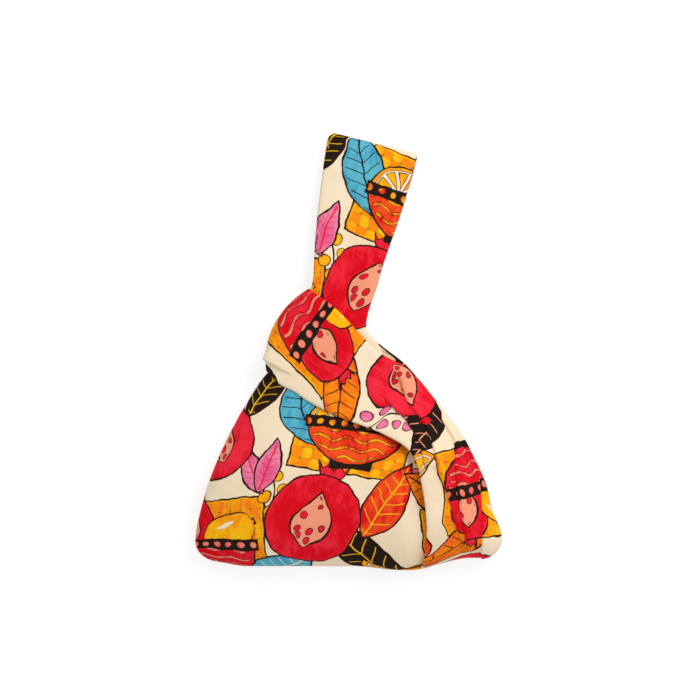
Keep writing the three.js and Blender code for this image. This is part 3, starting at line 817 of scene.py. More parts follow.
def short_cloth(sizes, is_front):
    """The front or back of the short handle, from its folded end to the body."""
    stations = short_stations(sizes, is_front)
    spans = len(stations[0]) - 1
    fine = np.linspace(0, spans, BAND_FINE_STEPS)[:, None]
    middle = short_plan(sizes, stations, fine, np.full((1, 1), 0.5))[:, 0]
    walked = np.concatenate([[0], np.cumsum(np.linalg.norm(np.diff(middle, axis=0), axis=1))])
    rows = np.linspace(0, 1, BAND_ROWS)
    even = mix(rows, (1 - np.cos(rows * np.pi)) / 2, BAND_EASING)
    t = np.interp(even * walked[-1], walked, fine[:, 0])[:, None]
    columns = np.linspace(0, 1, BAND_COLUMNS)[None, :]
    r = 1 - crowded(1 - columns) if is_front else (1 - np.cos(columns * np.pi)) / 2
    plan = short_plan(sizes, stations, t, r)
    if is_front:
        inner = unit(stations[0][1] - stations[0][0])
        shown = smooth((t - STRIP_FROM) / STRIP_START) * smooth((STRIP_TO - t) / STRIP_STOP)
        from_edge = np.linalg.norm(plan - plan[:, :1], axis=-1)
        shown = shown * np.exp(-((from_edge / STRIP_RUN) ** 2))
        plan = plan + STRIP_WIDTH * shown[..., None] * np.array([inner[1], -inner[0]])
    x, height = plan[..., 0], plan[..., 1]
    if is_front:
        band = band_z(sizes, stations, t, r) - STRIP_DROP * shown
        lift = PLEAT_LIFT * smooth(2 * height / PLEAT_TOP - 1) * (1 - smooth(r * 2))
        on_body = front_z(sizes, x, height) + lift
        level = mix(band, on_body, smooth((t - LOOP_END) / (AT_PLEAT - LOOP_END)))
    else:
        clear_x = np.where(t > AT_PLEAT, x, np.maximum(x, BACK_STEP_AT + BACK_STEP_RUN))
        level = back_z(sizes, clear_x, np.minimum(height, BACK_CUT)) * smooth(t - AT_SHOULDER)
    from_end = np.linalg.norm(plan - short_plan(sizes, stations, np.zeros_like(t), r), axis=-1)
    z = mix(sizes.loop_height / 2, level, quarter_round(from_end / LOOP_FOLD_DEPTH))
    return placed(x, height, z), t, r


def band_z(sizes, stations, t, r):
    """Height of the short handle where it passes over the knot."""
    spans = len(stations[0]) - 1
    over_front = front_z(sizes, stations[0][:, 0], stations[0][:, 1]) + BAND_RISE
    inner = np.maximum(over_front, sizes.loop_height)
    inner[0] = sizes.loop_height
    outer = np.full(spans + 1, sizes.seam_height)
    outer[:AT_PLEAT] = (sizes.loop_height, sizes.loop_height, ARMHOLE_TOP, ARMHOLE_MIDDLE)
    return mix(spline(inner[:, None], t / spans)[..., 0], spline(outer[:, None], t / spans)[..., 0], r)


# Meshes


def seated(points):
    """Points in the frame, where the bottom seam has its own place on Y."""
    return points + np.array([0.0, BOTTOM_SEAM, 0.0])


def perimeter(index):
    """Indices of a grid's edge points, anticlockwise from its first corner."""
    return np.concatenate([index[0, :-1], index[:-1, -1], index[-1, :0:-1], index[:0:-1, 0]])


def cloth_shell(name, points, facing, thickness, lip, pattern):
    """A closed cloth with rounded edges: facing is 1 where its shown side is the grid's own."""
    across, along = (unit(step) for step in grid_tangents(points))
    normals = (unit(np.cross(across, along)) * facing).reshape(-1, 3)
    outward = np.zeros_like(points)
    outward[0] -= along[0]
    outward[-1] += along[-1]
    outward[:, 0] -= across[:, 0]
    outward[:, -1] += across[:, -1]
    index = np.arange(thickness.size).reshape(thickness.shape)
    edge = perimeter(index)
    points = points.reshape(-1, 3)
    half = thickness.reshape(-1, 1) / 2
    out, up = unit(outward.reshape(-1, 3)[edge]), normals[edge]
    middle = points[edge] - up * half[edge]
    layers = [points]
    for step in range(1, RIM_STEPS + 1):
        angle = math.pi / 2 - math.pi * step / (RIM_STEPS + 1)
        bulge = out * lip.reshape(-1, 1)[edge] * math.cos(angle)
        layers.append(middle + bulge + up * half[edge] * math.sin(angle))
    layers.append(points - normals * 2 * half)
    under = len(points) + RIM_STEPS * len(edge)
    rings = [edge]
    rings += [len(points) + step * len(edge) + np.arange(len(edge)) for step in range(RIM_STEPS)]
    rings.append(edge + under)
    corners = (index[:-1, :-1], index[:-1, 1:], index[1:, 1:], index[1:, :-1])
    shown = np.stack(corners, axis=-1).reshape(-1, 4)
    faces = [shown, shown[:, ::-1] + under]
    for upper, lower in zip(rings, rings[1:]):
        faces.append(np.stack([np.roll(upper, -1), upper, lower, np.roll(lower, -1)], axis=-1))
    faces = np.concatenate(faces)
    if facing < 0:
        faces = faces[:, ::-1]
    pattern = pattern.reshape(-1, 2)
    uv = np.concatenate([pattern] + [pattern[edge]] * RIM_STEPS + [pattern])
    return mesh_object(name, seated(np.concatenate(layers)), faces, uv)


def mesh_object(name, points, faces, uv):
    """A smooth mesh with its flat pattern as its UV map."""
    mesh = bpy.data.meshes.new(name)
    mesh.from_pydata(points.tolist(), [], faces.tolist())
    corners = np.zeros(len(mesh.loops), int)
    mesh.loops.foreach_get("vertex_index", corners)
    layer = mesh.uv_layers.new(name=FLAT_MAP)
    layer.data.foreach_set("uv", uv[corners].astype(np.float32).ravel())
    mesh.polygons.foreach_set("use_smooth", np.ones(len(mesh.polygons), bool))
    mesh.update()
    made = bpy.data.objects.new(name, mesh)
    bpy.context.scene.collection.objects.link(made)
    return made


def row_lengths(points):
    """Distances walked along each row of a grid."""
    steps = np.linalg.norm(np.diff(points, axis=1), axis=-1)
    return np.concatenate([np.zeros((len(points), 1)), np.cumsum(steps, axis=1)], axis=1)


def column_lengths(points):
    """Distances walked along each column of a grid."""
    return row_lengths(points.transpose(1, 0, 2)).T


def flat_pattern(points):
    """Places on the flat cloth, measured from the middle column of the grid."""
    middle = points.shape[1] // 2
    across = row_lengths(points)
    along = row_lengths(points[:, middle][None])[0]
    along = np.broadcast_to(along[:, None], across.shape)
    return np.stack([across - across[:, middle : middle + 1], along], axis=-1)


def inset_rows(points, left, right):
    """A grid drawn in from its left and right edges by given distances for each row."""
    walked = row_lengths(points)
    drawn = np.empty_like(points)
    for row, line in enumerate(points):
        total = walked[row, -1]
        wanted = mix(left[row], total - right[row], walked[row] / total)
        for axis in range(3):
            drawn[row, :, axis] = np.interp(wanted, walked[row], line[:, axis])
    return drawn


def edge_reach(points, left_free, right_free):
    """Distance of each point from the free edges of its row."""
    walked = row_lengths(points)
    left = np.where(left_free[:, None], walked, FAR)
    right = np.where(right_free[:, None], walked[:, -1:] - walked, FAR)
    return np.minimum(left, right)


def raised(points, facing, relief):
    """A grid moved along its normals by a relief."""
    return points + grid_normals(points) * (facing * relief)[..., None]


def edge_rise(points, left_free, right_free):
    """Relief that rounds a cloth off towards its free edges: the free share of each row is 0 to 1."""
    walked = row_lengths(points)
    left = mix(1.0, quarter_round(walked / EDGE_ROLL), left_free[:, None])
    right = mix(1.0, quarter_round((walked[:, -1:] - walked) / EDGE_ROLL), right_free[:, None])
    return EDGE_RISE * left * right * np.maximum(left_free, right_free)[:, None]


# Folds of the cloths


def beside_route(plan, route):
    """How places in plan lie beside a route.

    Gives how far right of it they are, which way right is, the share of it walked, and how far past an end.
    """
    line = spline(route, np.linspace(0, 1, ROUTE_STEPS))
    heading = unit(np.gradient(line, axis=0))
    flat = plan.reshape(-1, 2)
    nearest = np.empty(len(flat), int)
    for start in range(0, len(flat), ROUTE_BATCH):
        away = flat[start : start + ROUTE_BATCH, None] - line[None]
        nearest[start : start + ROUTE_BATCH] = (away**2).sum(axis=-1).argmin(axis=1)
    rightward = np.stack([-heading[:, 1], heading[:, 0]], axis=-1)[nearest]
    offset = flat - line[nearest]
    aside = (offset * rightward).sum(axis=1)
    past_end = np.linalg.norm(offset - aside[:, None] * rightward, axis=1)
    past_end[(nearest > 0) & (nearest < len(line) - 1)] = 0.0
    share = nearest / (len(line) - 1)
    aside, share, past_end = (each.reshape(plan.shape[:-1]) for each in (aside, share, past_end))
    return aside, rightward.reshape(plan.shape), share, past_end


def swell(plan, route, rise, width):
    """Relief of a soft ridge along a route."""
    aside, _, share, past_end = beside_route(plan, route)
    ends = smooth(share / SWELL_FADE) * smooth((1 - share) / SWELL_FADE)
    return rise * ends * np.exp(-((aside / width) ** 2) - (past_end / width) ** 2)


def lapped(points, facing, fold):
    """How far a pleat moves the points of a cloth: the right of its route laps over the left."""
    route, tuck, width, rise, reach, fade = fold
    aside, rightward, share, past_end = beside_route(points[..., :2], route)
    normals = grid_normals(points) * facing
    ends = smooth(share / FOLD_START) * smooth((1 - share) / fade) * np.exp(-((past_end / width) ** 2))
    place = aside / width
    drawn = tuck * place * np.exp(-(place**2) / 2)
    crest = smooth(place - CREST_AT) * np.exp(-((np.maximum(aside, 0) / reach) ** 2))
    trough = TROUGH_SHARE * np.exp(-((place - TROUGH_AT) ** 2))
    right = np.concatenate([rightward, np.zeros_like(aside)[..., None]], axis=-1)
    right = unit(right - (right * normals).sum(axis=-1, keepdims=True) * normals)
    return (ends * rise * (crest - trough))[..., None] * normals - (ends * drawn)[..., None] * right


def uneven(points, rise, wavelength, seed):
    """Relief of slow unevenness."""
    return rise * rolling(points[..., :2], wavelength, seed)


# Shader nodes


class Value:
    """A node's output that is reckoned with as a number is."""

    def __init__(self, sketch, socket):
        self.sketch = sketch
        self.socket = socket

    def reckon(self, operation, *others):
        """What a Math node makes of this value and others."""
        return self.sketch.math(operation, self, *others)

    def __add__(self, other):
        return self.reckon("ADD", other)

    def __sub__(self, other):
        return self.reckon("SUBTRACT", other)

    def __rsub__(self, other):
        return self.sketch.math("SUBTRACT", other, self)

    def __mul__(self, other):
        return self.reckon("MULTIPLY", other)

    def __truediv__(self, other):
        return self.reckon("DIVIDE", other)

    def __neg__(self):
        return self * -1.0

    def __abs__(self):
        return self.reckon("ABSOLUTE")

    def from_half(self):
        """How far the fraction of this value lies from a half."""
        return abs(self.reckon("FRACT") - 0.5)


class Sketch:
    """Short calls that add nodes to one node tree."""

    def __init__(self, tree):
        self.tree = tree

    def feed(self, socket, value):
        """Links an output to a socket, or sets the socket's own value."""
        if isinstance(value, Value):
            value = value.socket
        if isinstance(value, bpy.types.NodeSocket):
            self.tree.links.new(value, socket)
        elif socket.type == "RGBA" and len(value) == 3:
            socket.default_value = (*value, 1.0)
        else:
            socket.default_value = value

    def node(self, kind, *values, **settings):
        """A node with its first inputs fed in order."""
        made = self.tree.nodes.new(kind)
        for name, value in settings.items():
            setattr(made, name, value)
        for socket, value in zip(made.inputs, values):
            self.feed(socket, value)
        return made

    def fed(self, node, **values):
        """A node with more inputs fed by name: an underscore stands for a space."""
        for name, value in values.items():
            self.feed(node.inputs[name.replace("_", " ")], value)
        return node

    def group(self, tree, **values):
        """A node group with its inputs fed by name."""
        return self.fed(self.node("ShaderNodeGroup", node_tree=tree), **values)

    def math(self, operation, *values):
        """One sum."""
        return Value(self, self.node("ShaderNodeMath", *values, operation=operation).outputs[0])

    def vector(self, operation, *values):
        """One sum of vectors."""
        made = self.node("ShaderNodeVectorMath", *values, operation=operation)
        return Value(self, made.outputs["Value" if operation == "LENGTH" else "Vector"])

    def parts(self, vector):
        """The X and Y of a vector."""
        made = self.node("ShaderNodeSeparateXYZ", vector)
        return Value(self, made.outputs["X"]), Value(self, made.outputs["Y"])

    def ramp(self, value, start, end):
        """Eases from 0 to 1 as a value goes from start to end."""
        made = self.node("ShaderNodeMapRange", value, start, end, interpolation_type="SMOOTHSTEP")
        return Value(self, made.outputs["Result"])

    def blend(self, share, first, second):
        """A colour between two others."""
        made = self.node("ShaderNodeMix", data_type="RGBA")
        for place, value in ((0, share), (6, first), (7, second)):
            self.feed(made.inputs[place], value)
        return Value(self, made.outputs[2])

    def noise(self, vector, scale, detail=2.0, roughness=0.5, output=0):
        """Uneven values around a half, or colours around grey with Color as the output."""
        made = self.node("ShaderNodeTexNoise", vector)
        self.fed(made, Scale=scale, Detail=detail, Roughness=roughness)
        return Value(self, made.outputs[output])


def node_group(name, inputs, outputs, kind="ShaderNodeTree"):
    """A sketch of a new group, its inputs as values by name, and its output's sockets."""
    tree = bpy.data.node_groups.new(name, kind)
    for side, sockets in (("INPUT", inputs), ("OUTPUT", outputs)):
        for label, socket in sockets.items():
            tree.interface.new_socket(label, in_out=side, socket_type=f"NodeSocket{socket}")
    sketch = Sketch(tree)
    source = sketch.node("NodeGroupInput").outputs
    given = {label: Value(sketch, source[label]) for label in inputs}
    return sketch, given, sketch.node("NodeGroupOutput").inputs


def weave_group():
    """Plain weave with uneven yarns: its height, and a share that rises from the hollows between the yarns
    to their crests.
    """
    inputs = {"Position": "Vector", "Yarn": "Float"}
    sketch, given, made = node_group("Plain weave", inputs, {"Height": "Float", "Dye": "Float"})
    position = given["Position"]
    drift = sketch.vector("SUBTRACT", sketch.noise(position, DRIFT_SCALE, output="Color"), HALVES)
    drift = sketch.vector("MULTIPLY", drift, DRIFT_REACH)
    x, y = sketch.parts(sketch.vector("ADD", position, drift))
    pace = sketch.math("DIVIDE", math.pi, given["Yarn"])
    crossing = (x * pace).reckon("SINE") * (y * pace).reckon("SINE")
    height = sketch.noise(position, SLUB_SCALE) * SLUB_SHARE + (crossing * 0.5 + 0.5)
    sketch.feed(made["Height"], height)
    sketch.feed(made["Dye"], sketch.ramp(height, *YARN_CREST_ENDS))
    return sketch.tree


def painted_group():
    """One painted area: uneven colour inside a distance of 0, pooled at its edge, and an inked line."""
    inputs = dict.fromkeys(("Ground", "Fill", "Second", "Line"), "Color")
    inputs |= dict.fromkeys(("Distance", "Wash", "Line width"), "Float")
    sketch, given, made = node_group("Painted area", inputs, {"Colour": "Color"})
    distance, wash = given["Distance"], given["Wash"]
    pooled = sketch.ramp(distance, -RIM_POOL, 0.0) * RIM_POOL_SHARE
    share = pooled + sketch.ramp(wash, *STROKE_ENDS) * STROKE_SHARE
    fill = sketch.blend(share.reckon("MINIMUM", 1.0), given["Fill"], given["Second"])
    inside = sketch.ramp(distance, AREA_EDGE, -AREA_EDGE)
    wide = given["Line width"] * (wash * LINE_SWELL + LINE_LEAST)
    inked = sketch.ramp(abs(distance) - wide, LINE_EDGE, -LINE_EDGE)
    colour = sketch.blend(inside, given["Ground"], fill)
    sketch.feed(made["Colour"], sketch.blend(inked, colour, given["Line"]))
    return sketch.tree


class Motif(Sketch):
    """A motif of the print, drawn about its own centre and repeated over the cloth."""

    def __init__(self, name, painted):
        inputs = dict.fromkeys(("Position", "Centre"), "Vector")
        inputs |= dict.fromkeys(("Wash", "Turn", "Length", "Width"), "Float")
        inputs |= dict.fromkeys(("Ground", "Fill", "Second", "Detail", "Line"), "Color")
        sketch, self.given, self.made = node_group(name, inputs, {"Colour": "Color"})
        super().__init__(sketch.tree)
        self.painted = painted
        self.colour = self.given["Ground"]
        self.length, self.width = self.given["Length"], self.given["Width"]
        half = tuple(side / 2 for side in PRINT_REPEAT)
        away = self.vector("SUBTRACT", self.given["Position"], self.given["Centre"])
        near = self.vector("WRAP", away, half, tuple(-side for side in half))
        turned = self.node("ShaderNodeVectorRotate", near, rotation_type="Z_AXIS")
        self.local = self.fed(turned, Angle=self.given["Turn"]).outputs[0]
        self.x, self.y = self.parts(self.local)
        self.side, self.level = abs(self.x), abs(self.y)
        self.out = self.vector("LENGTH", self.local)

    def paint(self, distance, fill, second, line=LINE_WIDTH):
        """Paints one area over what is there."""
        area = self.group(
            self.painted,
            Ground=self.colour,
            Distance=distance,
            Wash=self.given["Wash"],
            Fill=self.given[fill],
            Second=self.given[second],
            Line=self.given["Line"],
            Line_width=line,
        )
        self.colour = area.outputs["Colour"]

    def blade(self, length, width, lean):
        """Distance to the edge of a pointed blade, and the place along it from -1 to 1."""
        along = self.y / length
        half = (1.0 - along * along) * (along * -lean + 1.0) * width
        return within((self.side - half) * BLADE_SLOPE, self.level - length), along


def within(first, *others):
    """Distance to an area that lies inside all of some areas."""
    for other in others:
        first = first.reckon("MAXIMUM", other)
    return first


def hypotenuse(one, two):
    """The long side of a right-angled triangle."""
    return (one * one + two * two).reckon("SQRT")


def off_nearest(place, pitch):
    """How far a place lies from the nearest of a row of evenly spaced ones."""
    return place - (place / pitch).reckon("ROUND") * pitch


def draw_leaf(motif):
    """A broad leaf with a midrib and side veins."""
    distance, along = motif.blade(motif.length, motif.width, LEAF_LEAN)
    motif.paint(distance, "Fill", "Second")
    slanted = along * VEINS - motif.side / motif.width * VEIN_SLANT
    rib = (slanted.from_half() - VEIN_HALF) * VEIN_SLOPE
    rib = rib.reckon("MINIMUM", motif.side - STEM_HALF)
    motif.paint(within(rib, distance + LEAF_RIM), "Detail", "Detail", line=0.0)


def draw_fruit(motif):
    """A round fruit with a crown, cut open on a hollow of seeds."""
    radius = motif.length
    above = motif.y - radius * CROWN_FROM
    saw = motif.side.reckon("PINGPONG", radius * CROWN_POINT)
    flare = above * CROWN_FLARE + radius * CROWN_HALF
    crown = within(motif.side - flare, above - (radius * CROWN_HEIGHT + saw), -above)
    motif.paint(crown, "Second", "Fill")
    motif.paint(motif.out - radius, "Fill", "Second")
    cut, _ = motif.blade(radius * CUT_LENGTH, radius * CUT_WIDTH, CUT_LEAN)
    motif.paint(cut, "Detail", "Detail", line=CUT_LINE)
    seeds = motif.node("ShaderNodeTexVoronoi", motif.local, feature="F1")
    motif.fed(seeds, Scale=SEED_SCALE, Randomness=SEED_STRAY)
    pip = (Value(motif, seeds.outputs["Distance"]) - SEED_HALF) * SEED_SLOPE
    motif.paint(within(pip, cut + CUT_RIM), "Fill", "Second", line=FINE_LINE)


def draw_slice(motif):
    """Half a round of citrus with its rind, pith and segments."""
    radius, out, below = motif.length, motif.out, -motif.y
    motif.paint(within(out - radius, below), "Fill", "Second")
    pith = within(out - radius * PITH_OUTER, below + radius * PITH_FOOT)
    motif.paint(pith, "Detail", "Detail", line=FINE_LINE)
    turn = motif.math("ARCTAN2", motif.y, motif.x) / SEGMENT_TURN
    wall = (0.5 - turn.from_half()) * out * -SEGMENT_SLOPE
    flesh = within(out - radius * FLESH_OUTER, below + radius * FLESH_FOOT)
    segment = within(flesh, wall + SEGMENT_GAP, radius * FLESH_INNER - out)
    motif.paint(segment, "Second", "Fill", line=SEGMENT_LINE)


def draw_lemon(motif):
    """A whole lemon with a pale stroke of light."""
    along = motif.y / motif.length
    square = along * along
    full = (1.0 - square).reckon("MAXIMUM", 0.0).reckon("SQRT")
    half = full * motif.width + motif.width * LEMON_TIP
    motif.paint(within(motif.side - half, motif.level - motif.length * LEMON_END), "Fill", "Second")
    aside = abs(motif.x + motif.width * GLINT_AT)
    motif.paint(square * GLINT_TAPER + (aside - GLINT_HALF), "Detail", "Detail", line=0.0)


def draw_sprig(motif):
    """A winding stem with berries on both sides."""
    wind = (motif.y * STEM_PACE).reckon("SINE")
    past = motif.level - motif.length
    stem = abs(motif.x - wind * STEM_SWAY) - STEM_HALF
    motif.paint(within(stem, past), "Line", "Line", line=0.0)
    reach = hypotenuse(off_nearest(motif.y, BERRY_PITCH), motif.side - motif.width)
    motif.paint(within(reach - motif.width * BERRY_HALF, past), "Fill", "Second", line=BERRY_LINE)


def draw_check(motif):
    """A checked table cloth."""
    edge = within(motif.side - motif.length, motif.level - motif.width)
    motif.paint(edge, "Fill", "Second")
    across, along = ((place / CHECK_PITCH).from_half() - CHECK_HALF for place in (motif.x, motif.y))
    square = across * along * -CHECK_SLOPE
    motif.paint(within(square, edge + AREA_RIM), "Detail", "Second", line=0.0)


def draw_bowl(motif):
    """A bowl with waved stripes and a beaded rim."""
    length, width = motif.length, motif.width
    across, along = motif.x / length, motif.y / width
    body = within((hypotenuse(across, along) - 1.0) * width, motif.y)
    foot = within(motif.side - length * FOOT_LENGTH, abs(motif.y + width) - width * FOOT_HALF)
    motif.paint(foot, "Line", "Line")
    motif.paint(body, "Fill", "Second")
    wave = (motif.x * WAVE_PACE).reckon("SINE")
    stripe = (along * STRIPES + wave * WAVE_SHARE).from_half() - STRIPE_HALF
    motif.paint(within(stripe * (width / STRIPES), body + AREA_RIM), "Detail", "Second", line=FINE_LINE)
    rim = within(motif.side - length * RIM_LENGTH, motif.level - width * RIM_HALF)
    motif.paint(rim, "Line", "Line")
    bead = hypotenuse(off_nearest(motif.x, BEAD_PITCH), motif.level) - width * BEAD_HALF
    motif.paint(within(bead, rim + BEAD_RIM), "Detail", "Second", line=0.0)


DRAWN_KINDS = {
    "leaf": draw_leaf,
    "fruit": draw_fruit,
    "slice": draw_slice,
    "lemon": draw_lemon,
    "sprig": draw_sprig,
    "check": draw_check,
    "bowl": draw_bowl,
}


def motif_groups():
    """The node group of each kind of motif."""
    painted = painted_group()
    groups = {}
    for kind, draw in DRAWN_KINDS.items():
        motif = Motif(f"Print {kind}", painted)
        draw(motif)
        motif.feed(motif.made["Colour"], motif.colour)
        groups[kind] = motif.tree
    return groups


def new_material(name):
    """A material, a sketch of its nodes and the inputs of its shader."""
    material = bpy.data.materials.new(name)
    material.use_nodes = True
    shader = material.node_tree.nodes["Principled BSDF"]
    shader.inputs["Specular IOR Level"].default_value = CLOTH_SPECULAR
    return material, Sketch(material.node_tree), shader.inputs


def woven_material(name, yarn, depth, roughness, polish):
    """A woven cloth: its material, sketch, flat place, share from the weave's hollows to its crests, and
    the input for its colour.
    """
    material, sketch, shader = new_material(name)
    weave = bpy.data.node_groups.get("Plain weave") or weave_group()
    position = sketch.node("ShaderNodeUVMap", uv_map=FLAT_MAP).outputs["UV"]
    woven = sketch.group(weave, Position=position, Yarn=yarn).outputs
    bump = sketch.fed(sketch.node("ShaderNodeBump"), Strength=WEAVE_STRENGTH, Distance=depth)
    sketch.fed(bump, Height=woven["Height"])
    sketch.feed(shader["Normal"], bump.outputs["Normal"])
    # Share from the weave's hollows to its crests: the crests are smoother, and the lining's painted shade
    # falls in the hollows.
    dye = Value(sketch, woven["Dye"])
    sketch.feed(shader["Roughness"], dye * -polish + roughness)
    return material, sketch, position, dye, shader["Base Color"]


def printed_canvas(colours):
    """Canvas with a painted print of fruit and leaves."""
    material, sketch, position, dye, base = woven_material("canvas_print", *CANVAS_WEAVE)
    waver = sketch.vector("SUBTRACT", sketch.noise(position, WAVER_SCALE, output="Color"), HALVES)
    drawn = sketch.vector("MULTIPLY_ADD", waver, WAVER_REACH, position)
    stretched = sketch.vector("MULTIPLY", drawn, STREAK_STRETCH)
    streaks = sketch.noise(stretched, STREAK_SCALE, STREAK_DETAIL, STREAK_ROUGHNESS)
    pools = sketch.noise(position, POOL_SCALE, detail=1.0)
    wash = (pools - 0.5) * POOL_SHARE + streaks
    stain = sketch.ramp(sketch.noise(position, STAIN_SCALE, detail=1.0), *STAIN_ENDS)
    toned = stain * STAIN_SHARE + sketch.ramp(wash, *GROUND_ENDS)
    colour = sketch.blend(toned, colours.cream, colours.sand)
    groups = motif_groups()
    for kind, place, turn, length, width, fill, second, detail in PRINT_MOTIFS:
        motif = sketch.group(
            groups[kind],
            Position=drawn,
            Ground=colour,
            Wash=wash,
            Centre=(*place, 0.0),
            Turn=math.radians(-turn),
            Length=length,
            Width=width,
            Fill=getattr(colours, fill),
            Second=getattr(colours, second),
            Detail=getattr(colours, detail),
            Line=colours.ink,
        )
        colour = motif.outputs["Colour"]
    faded = sketch.blend(FADING, colour, colours.cream)
    sketch.feed(base, sketch.blend(dye, faded, colour))
    return material


def lining_cotton(colours):
    """Plain natural cotton, with painted shade in the hollows of its weave."""
    material, sketch, position, dye, base = woven_material("cotton_plain", *COTTON_WEAVE)
    fleck = sketch.ramp(sketch.noise(position, FLECK_SCALE, detail=1.0), *FLECK_ENDS)
    plain = sketch.blend(fleck, colours.lining, colours.sand)
    # Painted shade: the low places of the weave, between the yarns, take the darker sand colour, and the
    # crests take the plain lining.
    sketch.feed(base, sketch.blend(dye, colours.sand, plain))
    return material


def sewing_thread(colours):
    """Twisted cotton thread."""
    material, sketch, shader = new_material("sewing_thread")
    twist = sketch.noise(sketch.node("ShaderNodeTexCoord").outputs["Object"], TWIST_SCALE)
    dark = tuple(TWIST_SHADE * part for part in colours.thread)
    sketch.feed(shader["Base Color"], sketch.blend(sketch.ramp(twist, *TWIST_ENDS), colours.thread, dark))
    sketch.feed(shader["Roughness"], twist * THREAD_UNEVEN + THREAD_ROUGHNESS)
    return material


def material_named(name, make, colours):
    """A material that is made once."""
    return bpy.data.materials.get(name) or make(colours)


# Cloths


def sew(settings, name, points, facing, free, nodes, calm=None):
    """A printed cloth and its lining, from the grid of the cloth's shown side.

    free holds, for each row, whether its left and its right edge are free. calm is the grid without
    pleats, which the lining keeps to.
    """
    sizes, colours = settings.sizes, settings.colours
    turned = np.exp(-((edge_reach(points, *free) / sizes.hem_width) ** 4))
    thickness = mix(sizes.cloth, sizes.hem, turned)
    lip = np.full(points.shape[:2], sizes.cloth * SEAM_LIP)
    for column, is_free in zip((0, -1), free):
        lip[:, column] = np.where(is_free, thickness[:, column] / 2, lip[:, column])
    coarse = (points if calm is None else calm)[::2, ::2]
    free = [rows[::2] for rows in free]
    depth = np.full(coarse.shape[:2], sizes.cloth + sizes.layer_gap)
    if calm is not None:
        depth = depth + LINING_SLACK * smooth(edge_reach(coarse, *free) / SLACK_REACH)
    inset = sizes.hem_width * LINING_INSET
    under = inset_rows(raised(coarse, -facing, depth), *(rows * inset for rows in free))
    even = np.full(under.shape[:2], sizes.lining)
    canvas = material_named("canvas_print", printed_canvas, colours)
    cotton = material_named("cotton_plain", lining_cotton, colours)
    layers = (
        ("cloth", "outer", "printed_canvas", canvas, points, thickness, lip, PRINT_PLACES[name]),
        ("lining", "lining", "lining_cotton", cotton, under, even, even / 2, (0.0, 0.0)),
    )
    pieces = []
    for layer, node_layer, slot, material, grid, thick, edge, print_at in layers:
        pattern = flat_pattern(grid)
        piece = cloth_shell(f"{name}_{layer}", grid, facing, thick, edge, pattern + np.array(print_at))
        piece.data.materials.append(material)
        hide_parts(*[f"{node}_{node_layer}" for node in nodes])
        pieces.append(piece)
    return pieces


def lifts_with_handle(pieces):
    """Bakes each piece's place into its mesh."""
    for piece in pieces:
        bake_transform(piece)


def slides_with_loop(pieces):
    """Bakes each piece's place into its mesh."""
    for piece in pieces:
        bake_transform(piece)


def front_grid(settings):
    """The front cloth with its soft folds."""
    points = long_cloth(settings.sizes, True)
    seed = settings.stage.seed
    relief = sum(swell(points[..., :2], *ridge) for ridge in FRONT_SWELLS)
    across, along = row_lengths(points), column_lengths(points)
    settled = smooth(np.minimum(along, across) / SETTLE_REACH)
    relief += uneven(points, FRONT_UNEVEN, FRONT_WAVE, seed) * settled
    past_seam = FAR * smooth((points[..., 1] - LEFT_SEAM_TOP) / SEAM_FADE)
    from_seam = np.minimum(across + past_seam, along)
    relief += uneven(points, PUCKER_RISE, PUCKER_WAVE, seed + 1) * np.exp(-from_seam / PUCKER_REACH)
    row = np.arange(len(points))
    past_body = smooth((row - BODY_ROWS) / ROLL_ROWS)
    relief += edge_rise(points, past_body, past_body)
    return raised(points, 1.0, relief * smooth((row[-1] - row) / END_ROWS)[:, None])


class KNOTBAG_OT_front_cloth(bpy.types.Operator):
    """Make the front cloth and its lining, with the front of the long handle"""

    bl_idname = "knotbag.front_cloth"
    bl_label = "Front cloth"

    def execute(self, context):
        settings = context.scene.knot_bag
        points = front_grid(settings)
        row = np.arange(len(points))
        free = (row > BODY_ROWS + FRONT_SHOULDER_ROWS, np.full(len(row), True))
        nodes = ("front_body", "front_long_handle_root", "front_long_handle")
        lifts_with_handle(sew(settings, "front", points, 1.0, free, nodes))
        return {"FINISHED"}


class KNOTBAG_OT_back_cloth(bpy.types.Operator):
    """Make the back cloth and its lining, with the back of the long handle"""

    bl_idname = "knotbag.back_cloth"
    bl_label = "Back cloth"

    def execute(self, context):
        settings = context.scene.knot_bag
        points = long_cloth(settings.sizes, False)
        row = np.arange(len(points))
        free = (row > BODY_ROWS + BACK_SHOULDER_ROWS, row >= BODY_ROWS)
        nodes = ("back_body", "back_long_handle_root", "back_long_handle")
        lifts_with_handle(sew(settings, "back", points, -1.0, free, nodes))
        return {"FINISHED"}


def short_grid(settings, is_front):
    """A side of the short handle with its pleats, the same without them, and its places by station."""
    points, t, r = short_cloth(settings.sizes, is_front)
    if not is_front:
        return points, points, t[:, 0]
    facing = -1.0
    settled = smooth((1 - r) / BAND_SIDE_FADE) * smooth((AT_BOTTOM - t) / BAND_END_FADE)
    settled = settled * smooth(t / BAND_END_FADE)
    slow = uneven(points, BAND_UNEVEN, BAND_WAVE, settings.stage.seed + 2) * settled
    t = t[:, 0]
    armhole = smooth((AT_PLEAT - t) / ARMHOLE_FADE)
    lap = smooth(t / LAP_FADE) * smooth((AT_BOTTOM - t) / BAND_END_FADE)
    calm = raised(points, facing, slow + edge_rise(points, lap, armhole * lap))
    from_seam = column_lengths(calm[::-1])[::-1]
    edge = smooth(row_lengths(calm) / FOLD_EDGE) * smooth((1 - r) / FOLD_SIDE)
    edge = edge * smooth(from_seam / FOLD_SEAM)
    moved = sum(lapped(calm, facing, pleat) for pleat in RIGHT_PLEATS) * edge[..., None]
    strip = lapped(calm, facing, STRIP_FOLD) * smooth(t / STRIP_FADE)[:, None, None]
    return calm + moved + strip, calm, t


